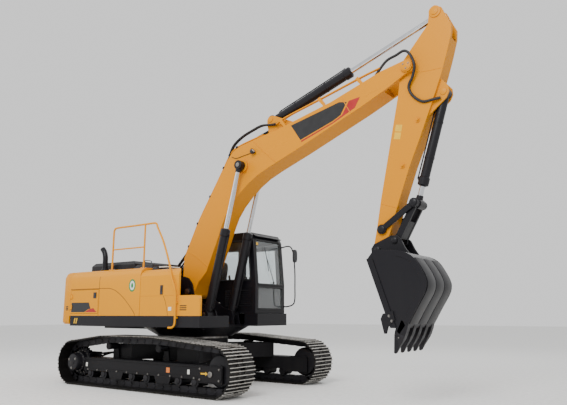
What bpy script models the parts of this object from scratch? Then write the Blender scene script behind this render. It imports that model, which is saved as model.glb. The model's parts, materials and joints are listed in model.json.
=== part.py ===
"""Crawler excavator of the 21 tonne class, as separate named solids placed on their joint axes.

Machine frame while building: +X forward, +Y to the left, +Z up, the swing axis at x = y = 0 and the
ground at z = 0. The root empty then slides along X so that the whole object is centred on the origin.
Run with: blender --background --python part.py
"""
import math

import bmesh
import bpy
from mathutils import Matrix, Vector

# ---------------------------------------------------------------- general
SEAT_GAP = 0.0003          # between faces that rest on each other
PANEL_GAP = 0.006          # round doors and lids
PIN_GAP = 0.007            # beside the rod eyes, which are the open pivots
ROUND = 24                 # sides of a round piece
SIDE_NAME = {-1: "right", 1: "left"}
HINGE_RADIUS = 0.013
HINGE_SET = 0.010          # from a door's edge to its hinge axis

# ---------------------------------------------------------------- undercarriage
TRACK_GAUGE = 2.38
SHOE_WIDTH = 0.60
TRACK_LENGTH = 4.28
TRACK_END_RADIUS = 0.40
TRACK_TOP = 0.90           # over the carrier rollers
SHOE_COUNT = 49
GROUSER = 0.022
SHOE_THICK = 0.036
CHAIN_HEIGHT = 0.10
CHAIN_WIDTH = 0.18
FRAME_BOX_WIDTH = 0.28
FRAME_PLATE = 0.03
FRAME_LOW, FRAME_HIGH = 0.255, 0.49
FRAME_FRONT = 1.36
ROLLER_RADIUS = 0.075
ROLLER_COUNT = 8
ROLLER_SPAN = 2.62
CARRIER_RADIUS = 0.06
CARRIER_X = (-0.95, 0.35)
WHEEL_WIDTH = 0.18
HUB_RADIUS = 0.185
SPROCKET_TEETH = 21
CARBODY_RADIUS = 0.62
CARBODY_LOW, CARBODY_HIGH = 0.46, 0.84
BEARING_RADIUS, BEARING_BORE, BEARING_TOP = 0.62, 0.50, 0.95

# ---------------------------------------------------------------- upper structure
BODY_HALF = 1.345          # half width of the housing
TAIL_RADIUS = 2.75
TAIL_FRONT = -2.085        # front face of the counterweight
DECK_LOW, DECK_HIGH = 1.055, 1.08
SKIRT_TOP = 1.243
SKIRT_WALL = 0.02
DECK_FRONT = 0.80
WING_FRONT = 1.35
WING_INNER = 0.62
HOUSING_TOP = 2.09
HOUSING_WALL = 0.022
HOUSING_FRONT = -0.09
TANK_TOP = 2.045
TANK_SPLIT = 1.58
TANK_INNER = 0.50
TANK_FRONT = 0.857
TANK_SLANT = ((0.857, -1.30), (0.05, -0.50))      # the slanting fronts, outer end to inner end, seen from above
BOX_SLANT = ((1.35, -1.30), (0.62, -0.62))
BRACKET_INNER, BRACKET_PLATE = 0.22, 0.028
LIFT_EYE, LIFT_ROD_EYE = 0.164, 0.12      # widths of the boom cylinders' eyes, at the foot and at the boom
LIFT_EAR = 0.027
LIFT_Y = BRACKET_INNER + BRACKET_PLATE + LIFT_EYE / 2
CAB_INNER, CAB_OUTER = LIFT_Y + LIFT_EYE / 2 + LIFT_EAR + 0.011, 1.40
CAB_REAR, CAB_FRONT = -0.65, 1.085
CAB_FLOOR, CAB_ROOF = 1.285, 2.845
CAB_WALL = 0.04
PLATFORM_FRONT = 1.14
PANE = 0.008

# ---------------------------------------------------------------- working equipment
BOOM_FOOT = (0.0, 1.69)
BOOM_LENGTH, BOOM_ANGLE = 5.70, 36.8
BOOM_DRAWN, BOOM_NOSE = 5.70, 4.41      # the length its outline is drawn at, and where its nose starts
BOOM_HALF, BOOM_WALL = 0.21, 0.014
NOSE_SLOT_HALF, NOSE_SLOT_START = 0.165, 5.18
ARM_LENGTH, ARM_ANGLE = 2.92, -101.8
ARM_HALF, ARM_WALL = 0.15, 0.012
ARM_FORK_HALF = 0.085
LIFT_BASE = (0.59, 1.26)          # foot pins of the two boom cylinders, x and z
LIFT_PIN = (2.395, 1.045)         # their rod pins on the boom, along and above its chord
CROWD_BASE = (3.33, 1.38)         # arm cylinder on the boom
CROWD_PIN = (-0.89, 0.30)         # arm cylinder on the arm
CURL_BASE = (0.385, 0.615)         # bucket cylinder on the arm
CROWD_EYE, CROWD_ROD_EYE = 0.18, 0.156
CURL_EYE, CURL_ROD_EYE = 0.15, 0.186
CURL_PIN = (2.13, 0.45)           # end of the rocker, on the arm at rest
ROCKER_PIN = (2.60, 0.0)          # foot of the rocker on the arm
BUCKET_HALF = 0.51
BUCKET_PLATE = 0.025
BUCKET_LINK = (0.285, 0.125)      # link pin on the bucket, from the bucket pin, x and z
TOOTH_WIDTH = 0.095
ROCKER_PLATE = 0.035
LINK_PLATE = 0.05
LINK_INNER = 0.10
EAR_PLATE = 0.04
EAR_INNER = 0.175
ROCKER_INNER = 0.155

COLOURS = {
    "yellow": (0.80, 0.36, 0.045, 0.42, 0.0),
    "black": (0.035, 0.034, 0.040, 0.5, 0.0),
    "grey": (0.10, 0.10, 0.11, 0.55, 0.0),
    "steel": (0.30, 0.29, 0.28, 0.45, 0.8),
    "chrome": (0.75, 0.75, 0.76, 0.12, 1.0),
    "glass": (0.60, 0.70, 0.72, 0.05, 0.0),
    "fabric": (0.05, 0.05, 0.055, 0.9, 0.0),
}


# ---------------------------------------------------------------- objects and shapes
def clear_scene():
    for item in list(bpy.data.objects):
        bpy.data.objects.remove(item, do_unlink=True)


def material(name):
    found = bpy.data.materials.get(name)
    if found:
        return found
    red, green, blue, rough, metal = COLOURS[name]
    made = bpy.data.materials.new(name)
    made.use_nodes = True
    shader = made.node_tree.nodes["Principled BSDF"]
    shader.inputs["Base Color"].default_value = (red, green, blue, 1.0)
    shader.inputs["Roughness"].default_value = rough
    shader.inputs["Metallic"].default_value = metal
    return made


def make_empty(name, point, parent=None):
    """An empty on a joint's axis; "point" is in the machine frame."""
    empty = bpy.data.objects.new(name, None)
    bpy.context.scene.collection.objects.link(empty)
    empty["point"] = tuple(point)
    if parent:
        empty.parent = parent
        empty.location = Vector(point) - Vector(parent["point"])
    else:
        empty.location = Vector(point)
    return empty


def from_bmesh(mesh_data, name="shape"):
    """Turn a bmesh into an object with outward faces."""
    bmesh.ops.recalc_face_normals(mesh_data, faces=mesh_data.faces)
    mesh = bpy.data.meshes.new(name)
    mesh_data.to_mesh(mesh)
    mesh_data.free()
    shape = bpy.data.objects.new(name, mesh)
    bpy.context.scene.collection.objects.link(shape)
    return shape


def loft(rings):
    """A closed solid through rings of equal point counts, with a flat cap on each end."""
    data = bmesh.new()
    rows = [[data.verts.new(point) for point in ring] for ring in rings]
    count = len(rows[0])
    for near, far in zip(rows, rows[1:]):
        for index in range(count):
            after = (index + 1) % count
            data.faces.new((near[index], near[after], far[after], far[index]))
    data.faces.new(rows[0])
    data.faces.new(rows[-1])
    return from_bmesh(data)


def side_plate(outline, y_low, y_high):
    """Extrude an outline of (x, z) points along Y."""
    return loft([[(x, y, z) for x, z in outline] for y in (y_low, y_high)])


def floor_plate(outline, z_low, z_high):
    """Extrude an outline of (x, y) points along Z."""
    return loft([[(x, y, z) for x, y in outline] for z in (z_low, z_high)])


def block(low, high):
    (x0, y0, z0), (x1, y1, z1) = low, high
    return floor_plate([(x0, y0), (x1, y0), (x1, y1), (x0, y1)], z0, z1)


def circle(centre, radius, sides=ROUND, start=0.0):
    step = 2 * math.pi / sides
    return [(centre[0] + radius * math.cos(start + step * i), centre[1] + radius * math.sin(start + step * i))
            for i in range(sides)]


def drum(centre, radius, y_low, y_high, sides=ROUND):
    """A cylinder along Y; centre is (x, z)."""
    return side_plate(circle(centre, radius, sides), y_low, y_high)


def post(centre, radius, z_low, z_high, sides=ROUND, top_radius=None):
    """A cylinder or cone along Z; centre is (x, y)."""
    top = radius if top_radius is None else top_radius
    return loft([[(x, y, z_low) for x, y in circle(centre, radius, sides)],
                 [(x, y, z_high) for x, y in circle(centre, top, sides)]])


def rod_between(start, end, radius, sides=ROUND):
    """A cylinder from one (x, y, z) point to another."""
    return pipe([start, end], radius, sides)


def pipe(points, radius, sides=8):
    """A round bar along a polyline; each ring lies in its corner's mitre plane."""
    points = [Vector(p) for p in points]
    heads = [(b - a).normalized() for a, b in zip(points, points[1:])]
    tangents = [heads[0]] + [(a + b).normalized() for a, b in zip(heads, heads[1:])] + [heads[-1]]
    side = heads[0].orthogonal().normalized()
    rings = []
    for index, (point, tangent) in enumerate(zip(points, tangents)):
        side = (side - tangent * side.dot(tangent)).normalized()
        other = tangent.cross(side)
        stretch = 1.0 / max(tangent.dot(heads[min(index, len(heads) - 1)]), 0.5)
        rings.append([point + (side * math.cos(a) + other * math.sin(a)) * radius * (1 + (stretch - 1) * 0.5)
                      for a in (2 * math.pi * i / sides for i in range(sides))])
    return loft(rings)


def boolean(base, tools, operation):
    """Apply Booleans to base one after another and remove the tools."""
    for tool in tools:
        change = base.modifiers.new("change", "BOOLEAN")
        change.operation = operation
        change.solver = "EXACT"
        change.object = tool
        graph = bpy.context.evaluated_depsgraph_get()
        result = bpy.data.meshes.new_from_object(base.evaluated_get(graph))
        base.modifiers.clear()
        old = base.data
        base.data = result
        bpy.data.meshes.remove(old)
        bpy.data.objects.remove(tool, do_unlink=True)
    return base


def join(base, *tools):
    return boolean(base, tools, "UNION")


def carve(base, *tools):
    return boolean(base, tools, "DIFFERENCE")


def finish(shape, name, colour, parent, smooth=False):
    """Name a solid, give it its material and hang it on its empty."""
    shape.name = name
    shape.data.name = name
    shape.data.materials.clear()
    shape.data.materials.append(material(colour))
    shape.data.transform(Matrix.Translation(-Vector(parent["point"])))
    shape.parent = parent
    if smooth:
        shape.data.shade_smooth()
        shape.data.set_sharp_from_angle(angle=math.radians(35))
    return shape


def inset(outline, depth):
    """Move every side of a closed outline inwards by depth."""
    area = sum(a[0] * b[1] - b[0] * a[1] for a, b in zip(outline, outline[1:] + outline[:1]))
    turn = 1.0 if area > 0 else -1.0
    moved = []
    for before, here, after in zip(outline[-1:] + outline[:-1], outline, outline[1:] + outline[:1]):
        first = (Vector(here) - Vector(before)).normalized()
        second = (Vector(after) - Vector(here)).normalized()
        normal_a = Vector((-first.y, first.x)) * turn
        normal_b = Vector((-second.y, second.x)) * turn
        bisector = (normal_a + normal_b).normalized()
        reach = depth / max(bisector.dot(normal_a), 0.3)
        moved.append(tuple(Vector(here) + bisector * reach))
    return moved


# ---------------------------------------------------------------- frames of the linkage
def polar(origin, degrees):
    """A function that maps (along, above) to (x, z) for a member at an angle above +X."""
    cosine, sine = math.cos(math.radians(degrees)), math.sin(math.radians(degrees))

    def place(point):
        along, above = point
        return (origin[0] + along * cosine - above * sine, origin[1] + along * sine + above * cosine)
    return place


def on_boom(point):
    """A point of the drawn boom; a change of its length is taken up between the foot and the nose."""
    share = min(max(point[0] / BOOM_NOSE, 0.0), 1.0)
    return polar(BOOM_FOOT, BOOM_ANGLE)((point[0] + share * (BOOM_LENGTH - BOOM_DRAWN), point[1]))


BOOM_TIP = on_boom((BOOM_DRAWN, 0.0))
on_arm = polar(BOOM_TIP, ARM_ANGLE)
BUCKET_PIN = on_arm((ARM_LENGTH, 0.0))


def on_bucket(point):
    return (BUCKET_PIN[0] + point[0], BUCKET_PIN[1] + point[1])


# ---------------------------------------------------------------- undercarriage
TRACK_Y = TRACK_GAUGE / 2
WHEEL_X = TRACK_LENGTH / 2 - TRACK_END_RADIUS
CHAIN_DEPTH = SHOE_THICK + CHAIN_HEIGHT
WHEEL_RADIUS = TRACK_END_RADIUS - CHAIN_DEPTH - 0.0025
CHAIN_SAG = 0.0015         # the chain is straight between its stations
ROLLER_Z = CHAIN_DEPTH + SEAT_GAP + ROLLER_RADIUS
CARRIER_Z = TRACK_TOP - CHAIN_DEPTH - SEAT_GAP - CARRIER_RADIUS
FRAME_INNER = TRACK_Y - FRAME_BOX_WIDTH / 2
FRAME_OUTER = TRACK_Y + FRAME_BOX_WIDTH / 2


def belt(circles, count):
    """Even stations along a belt round circles of (x, z, radius), listed clockwise from the rear one."""
    spans = []
    total = len(circles)
    for index, (x, z, radius) in enumerate(circles):
        x2, z2, radius2 = circles[(index + 1) % total]
        gap = math.hypot(x2 - x, z2 - z)
        lean = math.atan2(z2 - z, x2 - x) + math.acos((radius - radius2) / gap)
        spans.append(lean)
    path = []
    for index, (x, z, radius) in enumerate(circles):
        start, end = spans[index - 1], spans[index]
        while end > start:
            end -= 2 * math.pi
        sweep = start - end
        steps = max(2, int(sweep / math.radians(3)))
        for step in range(steps + 1):
            angle = start - sweep * step / steps
            normal = Vector((math.cos(angle), math.sin(angle)))
            path.append((Vector((x, z)) + normal * radius, normal))
    lengths = [(path[(i + 1) % len(path)][0] - path[i][0]).length for i in range(len(path))]
    pitch = sum(lengths) / count
    stations, covered, index = [], 0.0, 0
    for number in range(count):
        target = number * pitch
        while covered + lengths[index] < target:
            covered += lengths[index]
            index += 1
        mix = (target - covered) / lengths[index] if lengths[index] else 0.0
        here, after = path[index], path[(index + 1) % len(path)]
        stations.append((here[0].lerp(after[0], mix), here[1].lerp(after[1], mix).normalized()))
    return stations


def make_track(side, root):
    """One loop: the shoes' plates with a grouser on every shoe, and the chain inside them."""
    roller_reach = CARRIER_RADIUS + CHAIN_DEPTH + SEAT_GAP
    circles = [(-WHEEL_X, TRACK_END_RADIUS, TRACK_END_RADIUS)]
    circles += [(x, CARRIER_Z, roller_reach) for x in CARRIER_X]
    circles += [(WHEEL_X, TRACK_END_RADIUS, TRACK_END_RADIUS)]
    half, rib = SHOE_WIDTH / 2, CHAIN_WIDTH / 2
    data = bmesh.new()
    rings = []
    for index, (point, normal) in enumerate(belt(circles, SHOE_COUNT * 2)):
        outer = 0.0 if index % 2 else GROUSER
        section = [(-half, outer), (half, outer), (half, SHOE_THICK), (rib, SHOE_THICK), (rib, CHAIN_DEPTH),
                   (-rib, CHAIN_DEPTH), (-rib, SHOE_THICK), (-half, SHOE_THICK)]
        rings.append([data.verts.new((point.x - normal.x * depth, side * TRACK_Y + y, point.y - normal.y * depth))
                      for y, depth in section])
    count = len(rings[0])
    for near, far in zip(rings, rings[1:] + rings[:1]):
        for index in range(count):
            after = (index + 1) % count
            data.faces.new((near[index], near[after], far[after], far[index]))
    finish(from_bmesh(data), f"track_{SIDE_NAME[side]}", "steel", root)


def span(side, inner, outer):
    """Low and high Y of a piece that lies between two distances from the centre line."""
    return (inner, outer) if side > 0 else (-outer, -inner)


def make_track_frame(side, root):
    box = [(-WHEEL_X + 0.28, FRAME_LOW), (FRAME_FRONT, FRAME_LOW), (FRAME_FRONT, FRAME_HIGH - 0.01),
           (-WHEEL_X + 0.28, FRAME_HIGH)]
    frame = side_plate(box, *span(side, FRAME_INNER, FRAME_OUTER))
    wall = FRAME_PLATE
    near, far = span(side, FRAME_INNER + wall, FRAME_OUTER - wall)
    carve(frame, block((-WHEEL_X + 0.28 + wall, near, 0.1), (FRAME_FRONT - wall, far, FRAME_HIGH - 0.01 - wall)))
    plates = [(FRAME_OUTER - FRAME_PLATE, FRAME_OUTER), (FRAME_INNER, FRAME_INNER + FRAME_PLATE)]
    fork = [(FRAME_FRONT - 0.06, 0.21), (WHEEL_X + 0.10, 0.21), (WHEEL_X + 0.10, 0.48), (FRAME_FRONT - 0.06, 0.48)]
    for near, far in plates:
        join(frame, side_plate(fork, *span(side, near, far)))
    tail = [(-WHEEL_X + HUB_RADIUS + 0.005, FRAME_LOW), (-WHEEL_X + 0.34, FRAME_LOW),
            (-WHEEL_X + 0.34, FRAME_HIGH), (-WHEEL_X + HUB_RADIUS + 0.005, FRAME_HIGH)]
    join(frame, side_plate(tail, *span(side, *plates[0])))
    drive = [(-WHEEL_X - 0.20, 0.22), (-WHEEL_X + 0.34, 0.22), (-WHEEL_X + 0.34, 0.58), (-WHEEL_X - 0.12, 0.58)]
    join(frame, side_plate(drive, *span(side, *plates[1])))
    join(frame, drum((-WHEEL_X, TRACK_END_RADIUS), 0.15, *span(side, FRAME_INNER - 0.12, FRAME_INNER + 0.01)))
    first = -ROLLER_SPAN / 2 - 0.05
    for number in range(ROLLER_COUNT):
        x = first + ROLLER_SPAN * number / (ROLLER_COUNT - 1)
        join(frame, drum((x, ROLLER_Z), ROLLER_RADIUS, *span(side, FRAME_INNER + 0.02, FRAME_OUTER - 0.02), 16))
    for x in CARRIER_X:
        stand = [(x - 0.08, FRAME_HIGH - 0.02), (x + 0.08, FRAME_HIGH - 0.02), (x + 0.04, CARRIER_Z + 0.03),
                 (x - 0.04, CARRIER_Z + 0.03)]
        join(frame, side_plate(stand, *span(side, FRAME_INNER, FRAME_INNER + 0.035)))
        near, far = span(side, FRAME_INNER + 0.02, TRACK_Y + 0.09)
        join(frame, drum((x, CARRIER_Z), CARRIER_RADIUS - CHAIN_SAG, near, far, 16))
    finish(frame, f"track_frame_{SIDE_NAME[side]}", "black", root)


def make_idler(side, root):
    wheel = drum((WHEEL_X, TRACK_END_RADIUS), WHEEL_RADIUS, *span(side, TRACK_Y - WHEEL_WIDTH / 2,
                                                                 TRACK_Y + WHEEL_WIDTH / 2), 32)
    reach = FRAME_BOX_WIDTH / 2 - FRAME_PLATE - SEAT_GAP
    join(wheel, drum((WHEEL_X, TRACK_END_RADIUS), 0.06, *span(side, TRACK_Y - reach, TRACK_Y + reach), 16))
    finish(wheel, f"idler_{SIDE_NAME[side]}", "grey", root, smooth=True)


def make_sprocket(side, root):
    """Toothed wheel with the final drive's hub, which stands out to the shoes' edge."""
    rim = []
    for number in range(SPROCKET_TEETH * 2):
        angle = math.pi * number / SPROCKET_TEETH
        radius = WHEEL_RADIUS if number % 2 else WHEEL_RADIUS - 0.03
        rim.append((-WHEEL_X + radius * math.cos(angle), TRACK_END_RADIUS + radius * math.sin(angle)))
    wheel = side_plate(rim, *span(side, TRACK_Y - 0.04, TRACK_Y + 0.04))
    hub = span(side, FRAME_INNER + FRAME_PLATE + SEAT_GAP, TRACK_Y + SHOE_WIDTH / 2 - 0.01)
    join(wheel, drum((-WHEEL_X, TRACK_END_RADIUS), HUB_RADIUS, *hub))
    finish(wheel, f"sprocket_{SIDE_NAME[side]}", "grey", root)


def make_carbody(root):
    body = post((0, 0), CARBODY_RADIUS, CARBODY_LOW, CARBODY_HIGH, 32)
    reach = FRAME_INNER - SEAT_GAP
    leg = [(0.12, 0.50), (0.56, 0.12), (1.08, reach), (0.58, reach)]
    hollow = [(0.16, 0.47), (0.53, 0.17), (1.01, reach - 0.05), (0.62, reach - 0.05)]
    quarters = [(1, 1), (1, -1), (-1, 1), (-1, -1)]
    for sx, sy in quarters:
        join(body, floor_plate([(x * sx, y * sy) for x, y in leg], CARBODY_LOW + 0.01, 0.74))
    for sx, sy in quarters:
        carve(body, floor_plate([(x * sx, y * sy) for x, y in hollow], CARBODY_LOW - 0.1, 0.70))
    carve(body, post((0, 0), CARBODY_RADIUS - 0.05, CARBODY_LOW - 0.11, CARBODY_HIGH - 0.05, 32))
    finish(body, "carbody", "black", root)
    ring = post((0, 0), BEARING_RADIUS, CARBODY_HIGH + SEAT_GAP, BEARING_TOP, 48)
    carve(ring, post((0, 0), BEARING_BORE, CARBODY_HIGH - 0.1, BEARING_TOP + 0.1, 48))
    finish(ring, "slew_bearing", "steel", root, smooth=True)


# ---------------------------------------------------------------- upper structure
def make_main_frame(upper):
    """Deck with its skirts, the swing bearing's cover and the brackets that carry the boom."""
    outline = [(TAIL_FRONT + 0.04, -BODY_HALF), (WING_FRONT, -BODY_HALF), (WING_FRONT, -WING_INNER),
               (DECK_FRONT, -WING_INNER), (DECK_FRONT, CAB_INNER - 0.01), (PLATFORM_FRONT, CAB_INNER - 0.01),
               (PLATFORM_FRONT, CAB_OUTER), (CAB_REAR - 0.03, CAB_OUTER), (CAB_REAR - 0.03, BODY_HALF),
               (TAIL_FRONT + 0.04, BODY_HALF)]
    frame = floor_plate(outline, DECK_LOW, DECK_HIGH)
    wall = SKIRT_WALL
    rear = TAIL_FRONT + 0.04
    walls = [((rear, -BODY_HALF, SKIRT_TOP), (WING_FRONT, -BODY_HALF + wall)),
             ((WING_FRONT - wall, -BODY_HALF, SKIRT_TOP), (WING_FRONT, -WING_INNER)),
             ((CAB_REAR - 0.03, CAB_OUTER - wall, CAB_FLOOR - SEAT_GAP), (PLATFORM_FRONT, CAB_OUTER)),
             ((PLATFORM_FRONT - wall, CAB_INNER, CAB_FLOOR - SEAT_GAP), (PLATFORM_FRONT, CAB_OUTER)),
             ((DECK_FRONT + 0.02, CAB_INNER, CAB_FLOOR - SEAT_GAP), (PLATFORM_FRONT, CAB_INNER + wall)),
             ((CAB_REAR - 0.03, CAB_INNER + 0.06, CAB_FLOOR - SEAT_GAP), (CAB_REAR - 0.03 + wall, CAB_OUTER)),
             ((rear, BODY_HALF - wall, SKIRT_TOP), (CAB_REAR, BODY_HALF))]
    for (x0, y0, top), (x1, y1) in walls:
        join(frame, block((x0, y0, DECK_LOW + 0.001), (x1, y1, top)))
    belly = block((-1.95, -0.60, 1.0), (0.74, 0.43, DECK_LOW + 0.012))
    carve(belly, block((-1.93, -0.58, 0.9), (0.72, 0.41, DECK_LOW - 0.008)))
    join(frame, belly)
    cover = post((0, 0), 0.70, 0.875, DECK_LOW + 0.007, 32, top_radius=1.03)
    carve(cover, post((0, 0), 0.66, 0.865, DECK_LOW - 0.004, 32, top_radius=0.99))
    join(frame, cover)
    join(frame, post((0, 0), BEARING_RADIUS - 0.02, BEARING_TOP + SEAT_GAP, DECK_LOW + 0.010, 32))
    step = [(WING_FRONT - 0.01, BOX_SLANT[0][1] - 0.02), (WING_FRONT - 0.01, -WING_INNER - 0.01),
            (BOX_SLANT[1][0] - 0.04, -WING_INNER - 0.01)]
    join(frame, floor_plate(step, SKIRT_TOP - 0.027, SKIRT_TOP - 0.007))
    bracket = [(-0.62, DECK_HIGH - 0.01), (-0.22, 1.93), (-0.12, 1.985), (0.0, 1.95), (0.10, 1.84), (0.16, 1.62),
               (0.48, 1.40), (0.70, 1.34), (0.74, 1.24), (0.76, DECK_HIGH - 0.01)]
    ear = [(0.44, DECK_HIGH - 0.01), (0.50, 1.31), (0.55, 1.35), (0.64, 1.35), (0.69, 1.30),
           (0.74, DECK_HIGH - 0.01)]
    outer = LIFT_Y + LIFT_EYE / 2 + SEAT_GAP
    inner = LIFT_Y - LIFT_EYE / 2 - SEAT_GAP
    for side in (-1, 1):
        join(frame, side_plate(bracket, *span(side, BRACKET_INNER, inner)))
        join(frame, side_plate(ear, *span(side, outer, outer + LIFT_EAR)))
        join(frame, drum(BOOM_FOOT, 0.075, *span(side, inner - 0.01, inner + 0.025), 16))
    finish(frame, "main_frame", "black", upper)


def tail_outline(radius, half, corner):
    """Plan of the tail: an arc about the swing axis with rounded corners, forward faces flat."""
    edge = math.acos(-math.sqrt(radius * radius - (half - corner) ** 2) / radius)
    arc = []
    steps = 12
    for step in range(steps + 1):
        angle = edge + (2 * math.pi - 2 * edge) * step / steps
        arc.append((radius * math.cos(angle), radius * math.sin(angle)))
    return arc


def make_counterweight(upper):
    arc = tail_outline(TAIL_RADIUS, BODY_HALF, 0.33)
    shoulder = [(TAIL_FRONT - 0.10, BODY_HALF), (TAIL_FRONT - 0.24, BODY_HALF - 0.035),
                (TAIL_FRONT - 0.35, BODY_HALF - 0.13)]
    outline = [(TAIL_FRONT, BODY_HALF)] + shoulder + arc
    outline += [(x, -y) for x, y in reversed(shoulder)] + [(TAIL_FRONT, -BODY_HALF)]
    small = inset(outline, 0.07)
    small[0] = (TAIL_FRONT, small[0][1])
    small[-1] = (TAIL_FRONT, small[-1][1])
    smaller = inset(outline, 0.03)
    smaller[0] = (TAIL_FRONT, smaller[0][1])
    smaller[-1] = (TAIL_FRONT, smaller[-1][1])
    levels = [(1.085, smaller), (1.125, outline), (HOUSING_TOP - 0.12, outline), (HOUSING_TOP - 0.05, smaller),
              (HOUSING_TOP - 0.012, small)]
    weight = loft([[(x, y, z) for x, y in ring] for z, ring in levels])
    carve(weight, block((TAIL_FRONT - 0.38, -1.02, 1.19), (TAIL_FRONT + 0.1, 1.02, 1.96)))
    finish(weight, "counterweight", "yellow", upper)


def make_engine(upper):
    engine = block((-1.62, -0.50, DECK_HIGH + SEAT_GAP), (-0.92, 0.50, 1.86))
    finish(engine, "engine", "grey", upper)


DOORS = {
    # name: (side, x rear, x front, z low, z high, hinge at the rear edge)
    "right_rear_door": (-1, -2.055, -1.235, 1.285, 1.725, True),
    "left_rear_door": (1, -2.055, -1.42, 1.285, 1.96, True),
    "left_front_door": (1, -1.375, -0.76, 1.285, 1.96, False),
}
HOOD = (-1.98, -0.69, -0.97, 0.97)      # x rear, x front, y right, y left
HOOD_HEIGHT = 0.18


def door_box(name, gap):
    side, rear, front, low, high, _ = DOORS[name]
    near, far = span(side, BODY_HALF - HOUSING_WALL - 0.05 * (gap < 0), BODY_HALF + 0.05 * (gap < 0))
    return block((rear + gap, near, low + gap), (front - gap, far, high - gap))


def hinge_knuckle(x, axis_y, inward, side, z, face):
    """The barrel on the hinge axis, with a strap to a foot on the door's outer face."""
    x_near, x_far = sorted((x + inward * (HINGE_SET + 0.004), x + inward * 0.055))
    y_near, y_far = sorted((side * (face - 0.008), side * (face + 0.005)))
    knuckle = block((x_near, y_near, z + 0.002), (x_far, y_far, z + 0.078))
    x_near, x_far = sorted((x, x + inward * 0.055))
    y_near, y_far = sorted((side * (face + 0.002), axis_y))
    join(knuckle, block((x_near, y_near, z), (x_far, y_far, z + 0.08)))
    return join(knuckle, post((x, axis_y), HINGE_RADIUS, z - 0.005, z + 0.085, 12))


def housing_shell(shrink, low):
    """The housing's outer form, or with shrink its hollow: an L in plan with rounded upper edges."""
    rear, half, top = TAIL_FRONT + SEAT_GAP + shrink, BODY_HALF - shrink, HOUSING_TOP - shrink
    outline = [(rear, -half), (HOUSING_FRONT - shrink, -half), (HOUSING_FRONT - shrink, -0.42 - shrink),
               (-0.70 - shrink, -0.42 - shrink), (-0.70 - shrink, half), (rear, half)]

    def pulled(depth):
        return [(x, math.copysign(abs(y) - depth, y) if abs(abs(y) - half) < 1e-6 else y) for x, y in outline]
    edge = 0.13
    rings = [(low, 0.0), (top - edge, 0.0), (top - edge * 0.62, 0.012), (top - edge * 0.28, 0.045),
             (top - edge * 0.06, 0.10), (top, 0.16)]
    return loft([[(x, y, z) for x, y in pulled(depth)] for z, depth in rings])


def make_housing(upper):
    shell = housing_shell(0.0, SKIRT_TOP + SEAT_GAP)
    carve(shell, housing_shell(HOUSING_WALL, SKIRT_TOP - 0.1))
    for name in DOORS:
        carve(shell, door_box(name, -PANEL_GAP))
    rear, front, right, left = HOOD
    carve(shell, block((rear + 0.10, right + 0.10, HOUSING_TOP - 0.2), (front - 0.10, left - 0.10, HOUSING_TOP + 0.1)))
    finish(shell, "engine_housing", "yellow", upper)


def make_doors(upper):
    for name, (side, rear, front, low, high, at_rear) in DOORS.items():
        x, inward = (rear - HINGE_SET, 1) if at_rear else (front + HINGE_SET, -1)
        axis_y = side * (BODY_HALF + HINGE_RADIUS + SEAT_GAP)
        hinge = make_empty(f"{name}_axis", (x, axis_y, low), upper)
        door = door_box(name, 0.0)
        for z in (low + 0.08, high - 0.16):
            join(door, hinge_knuckle(x, axis_y, inward, side, z, BODY_HALF))
        finish(door, name, "yellow", hinge)
    rear, front, right, left = HOOD
    base = HOUSING_TOP + SEAT_GAP
    low = [(rear, right), (front, right), (front, left), (rear, left)]
    high = [(rear + 0.05, right + 0.05), (front - 0.09, right + 0.05), (front - 0.09, left - 0.05),
            (rear + 0.05, left - 0.05)]
    hood = loft([[(x, y, base) for x, y in low], [(x, y, base + 0.12) for x, y in low],
                 [(x, y, base + HOOD_HEIGHT) for x, y in high]])
    carve(hood, block((rear + 0.025, right + 0.025, base - 0.1), (front - 0.025, left - 0.025, base + 0.055)))
    carve(hood, block((rear + 0.10, right + 0.10, base), (front - 0.13, left - 0.10, base + HOOD_HEIGHT - 0.02)))
    hinge = make_empty("engine_hood_axis", (rear, 0.0, HOUSING_TOP), upper)
    finish(hood, "engine_hood", "black", hinge)


def ahead_of(slant, low, high):
    """The space in front of a slanting front."""
    near, far = Vector(slant[0]), Vector(slant[1])
    near, far = near + (near - far) * 0.03, far + (far - near) * 0.03
    return floor_plate([tuple(near), tuple(far), (far.x, far.y + 0.3), (near.x + 0.3, far.y + 0.3),
                        (near.x + 0.3, near.y)], low, high)


def behind(slant, rear, outer, inner, wall, low, high):
    """The room behind a slanting front, one wall away from it, between two distances from the centre line."""
    (near_x, near_y), (far_x, far_y) = slant
    slope = (far_x - near_x) / (far_y - near_y)
    outline = [(rear, y) for y in (inner, outer)]
    outline += [(near_x + (y - near_y) * slope - wall * 1.45, y) for y in (outer, inner)]
    return floor_plate(outline, low, high)


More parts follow.
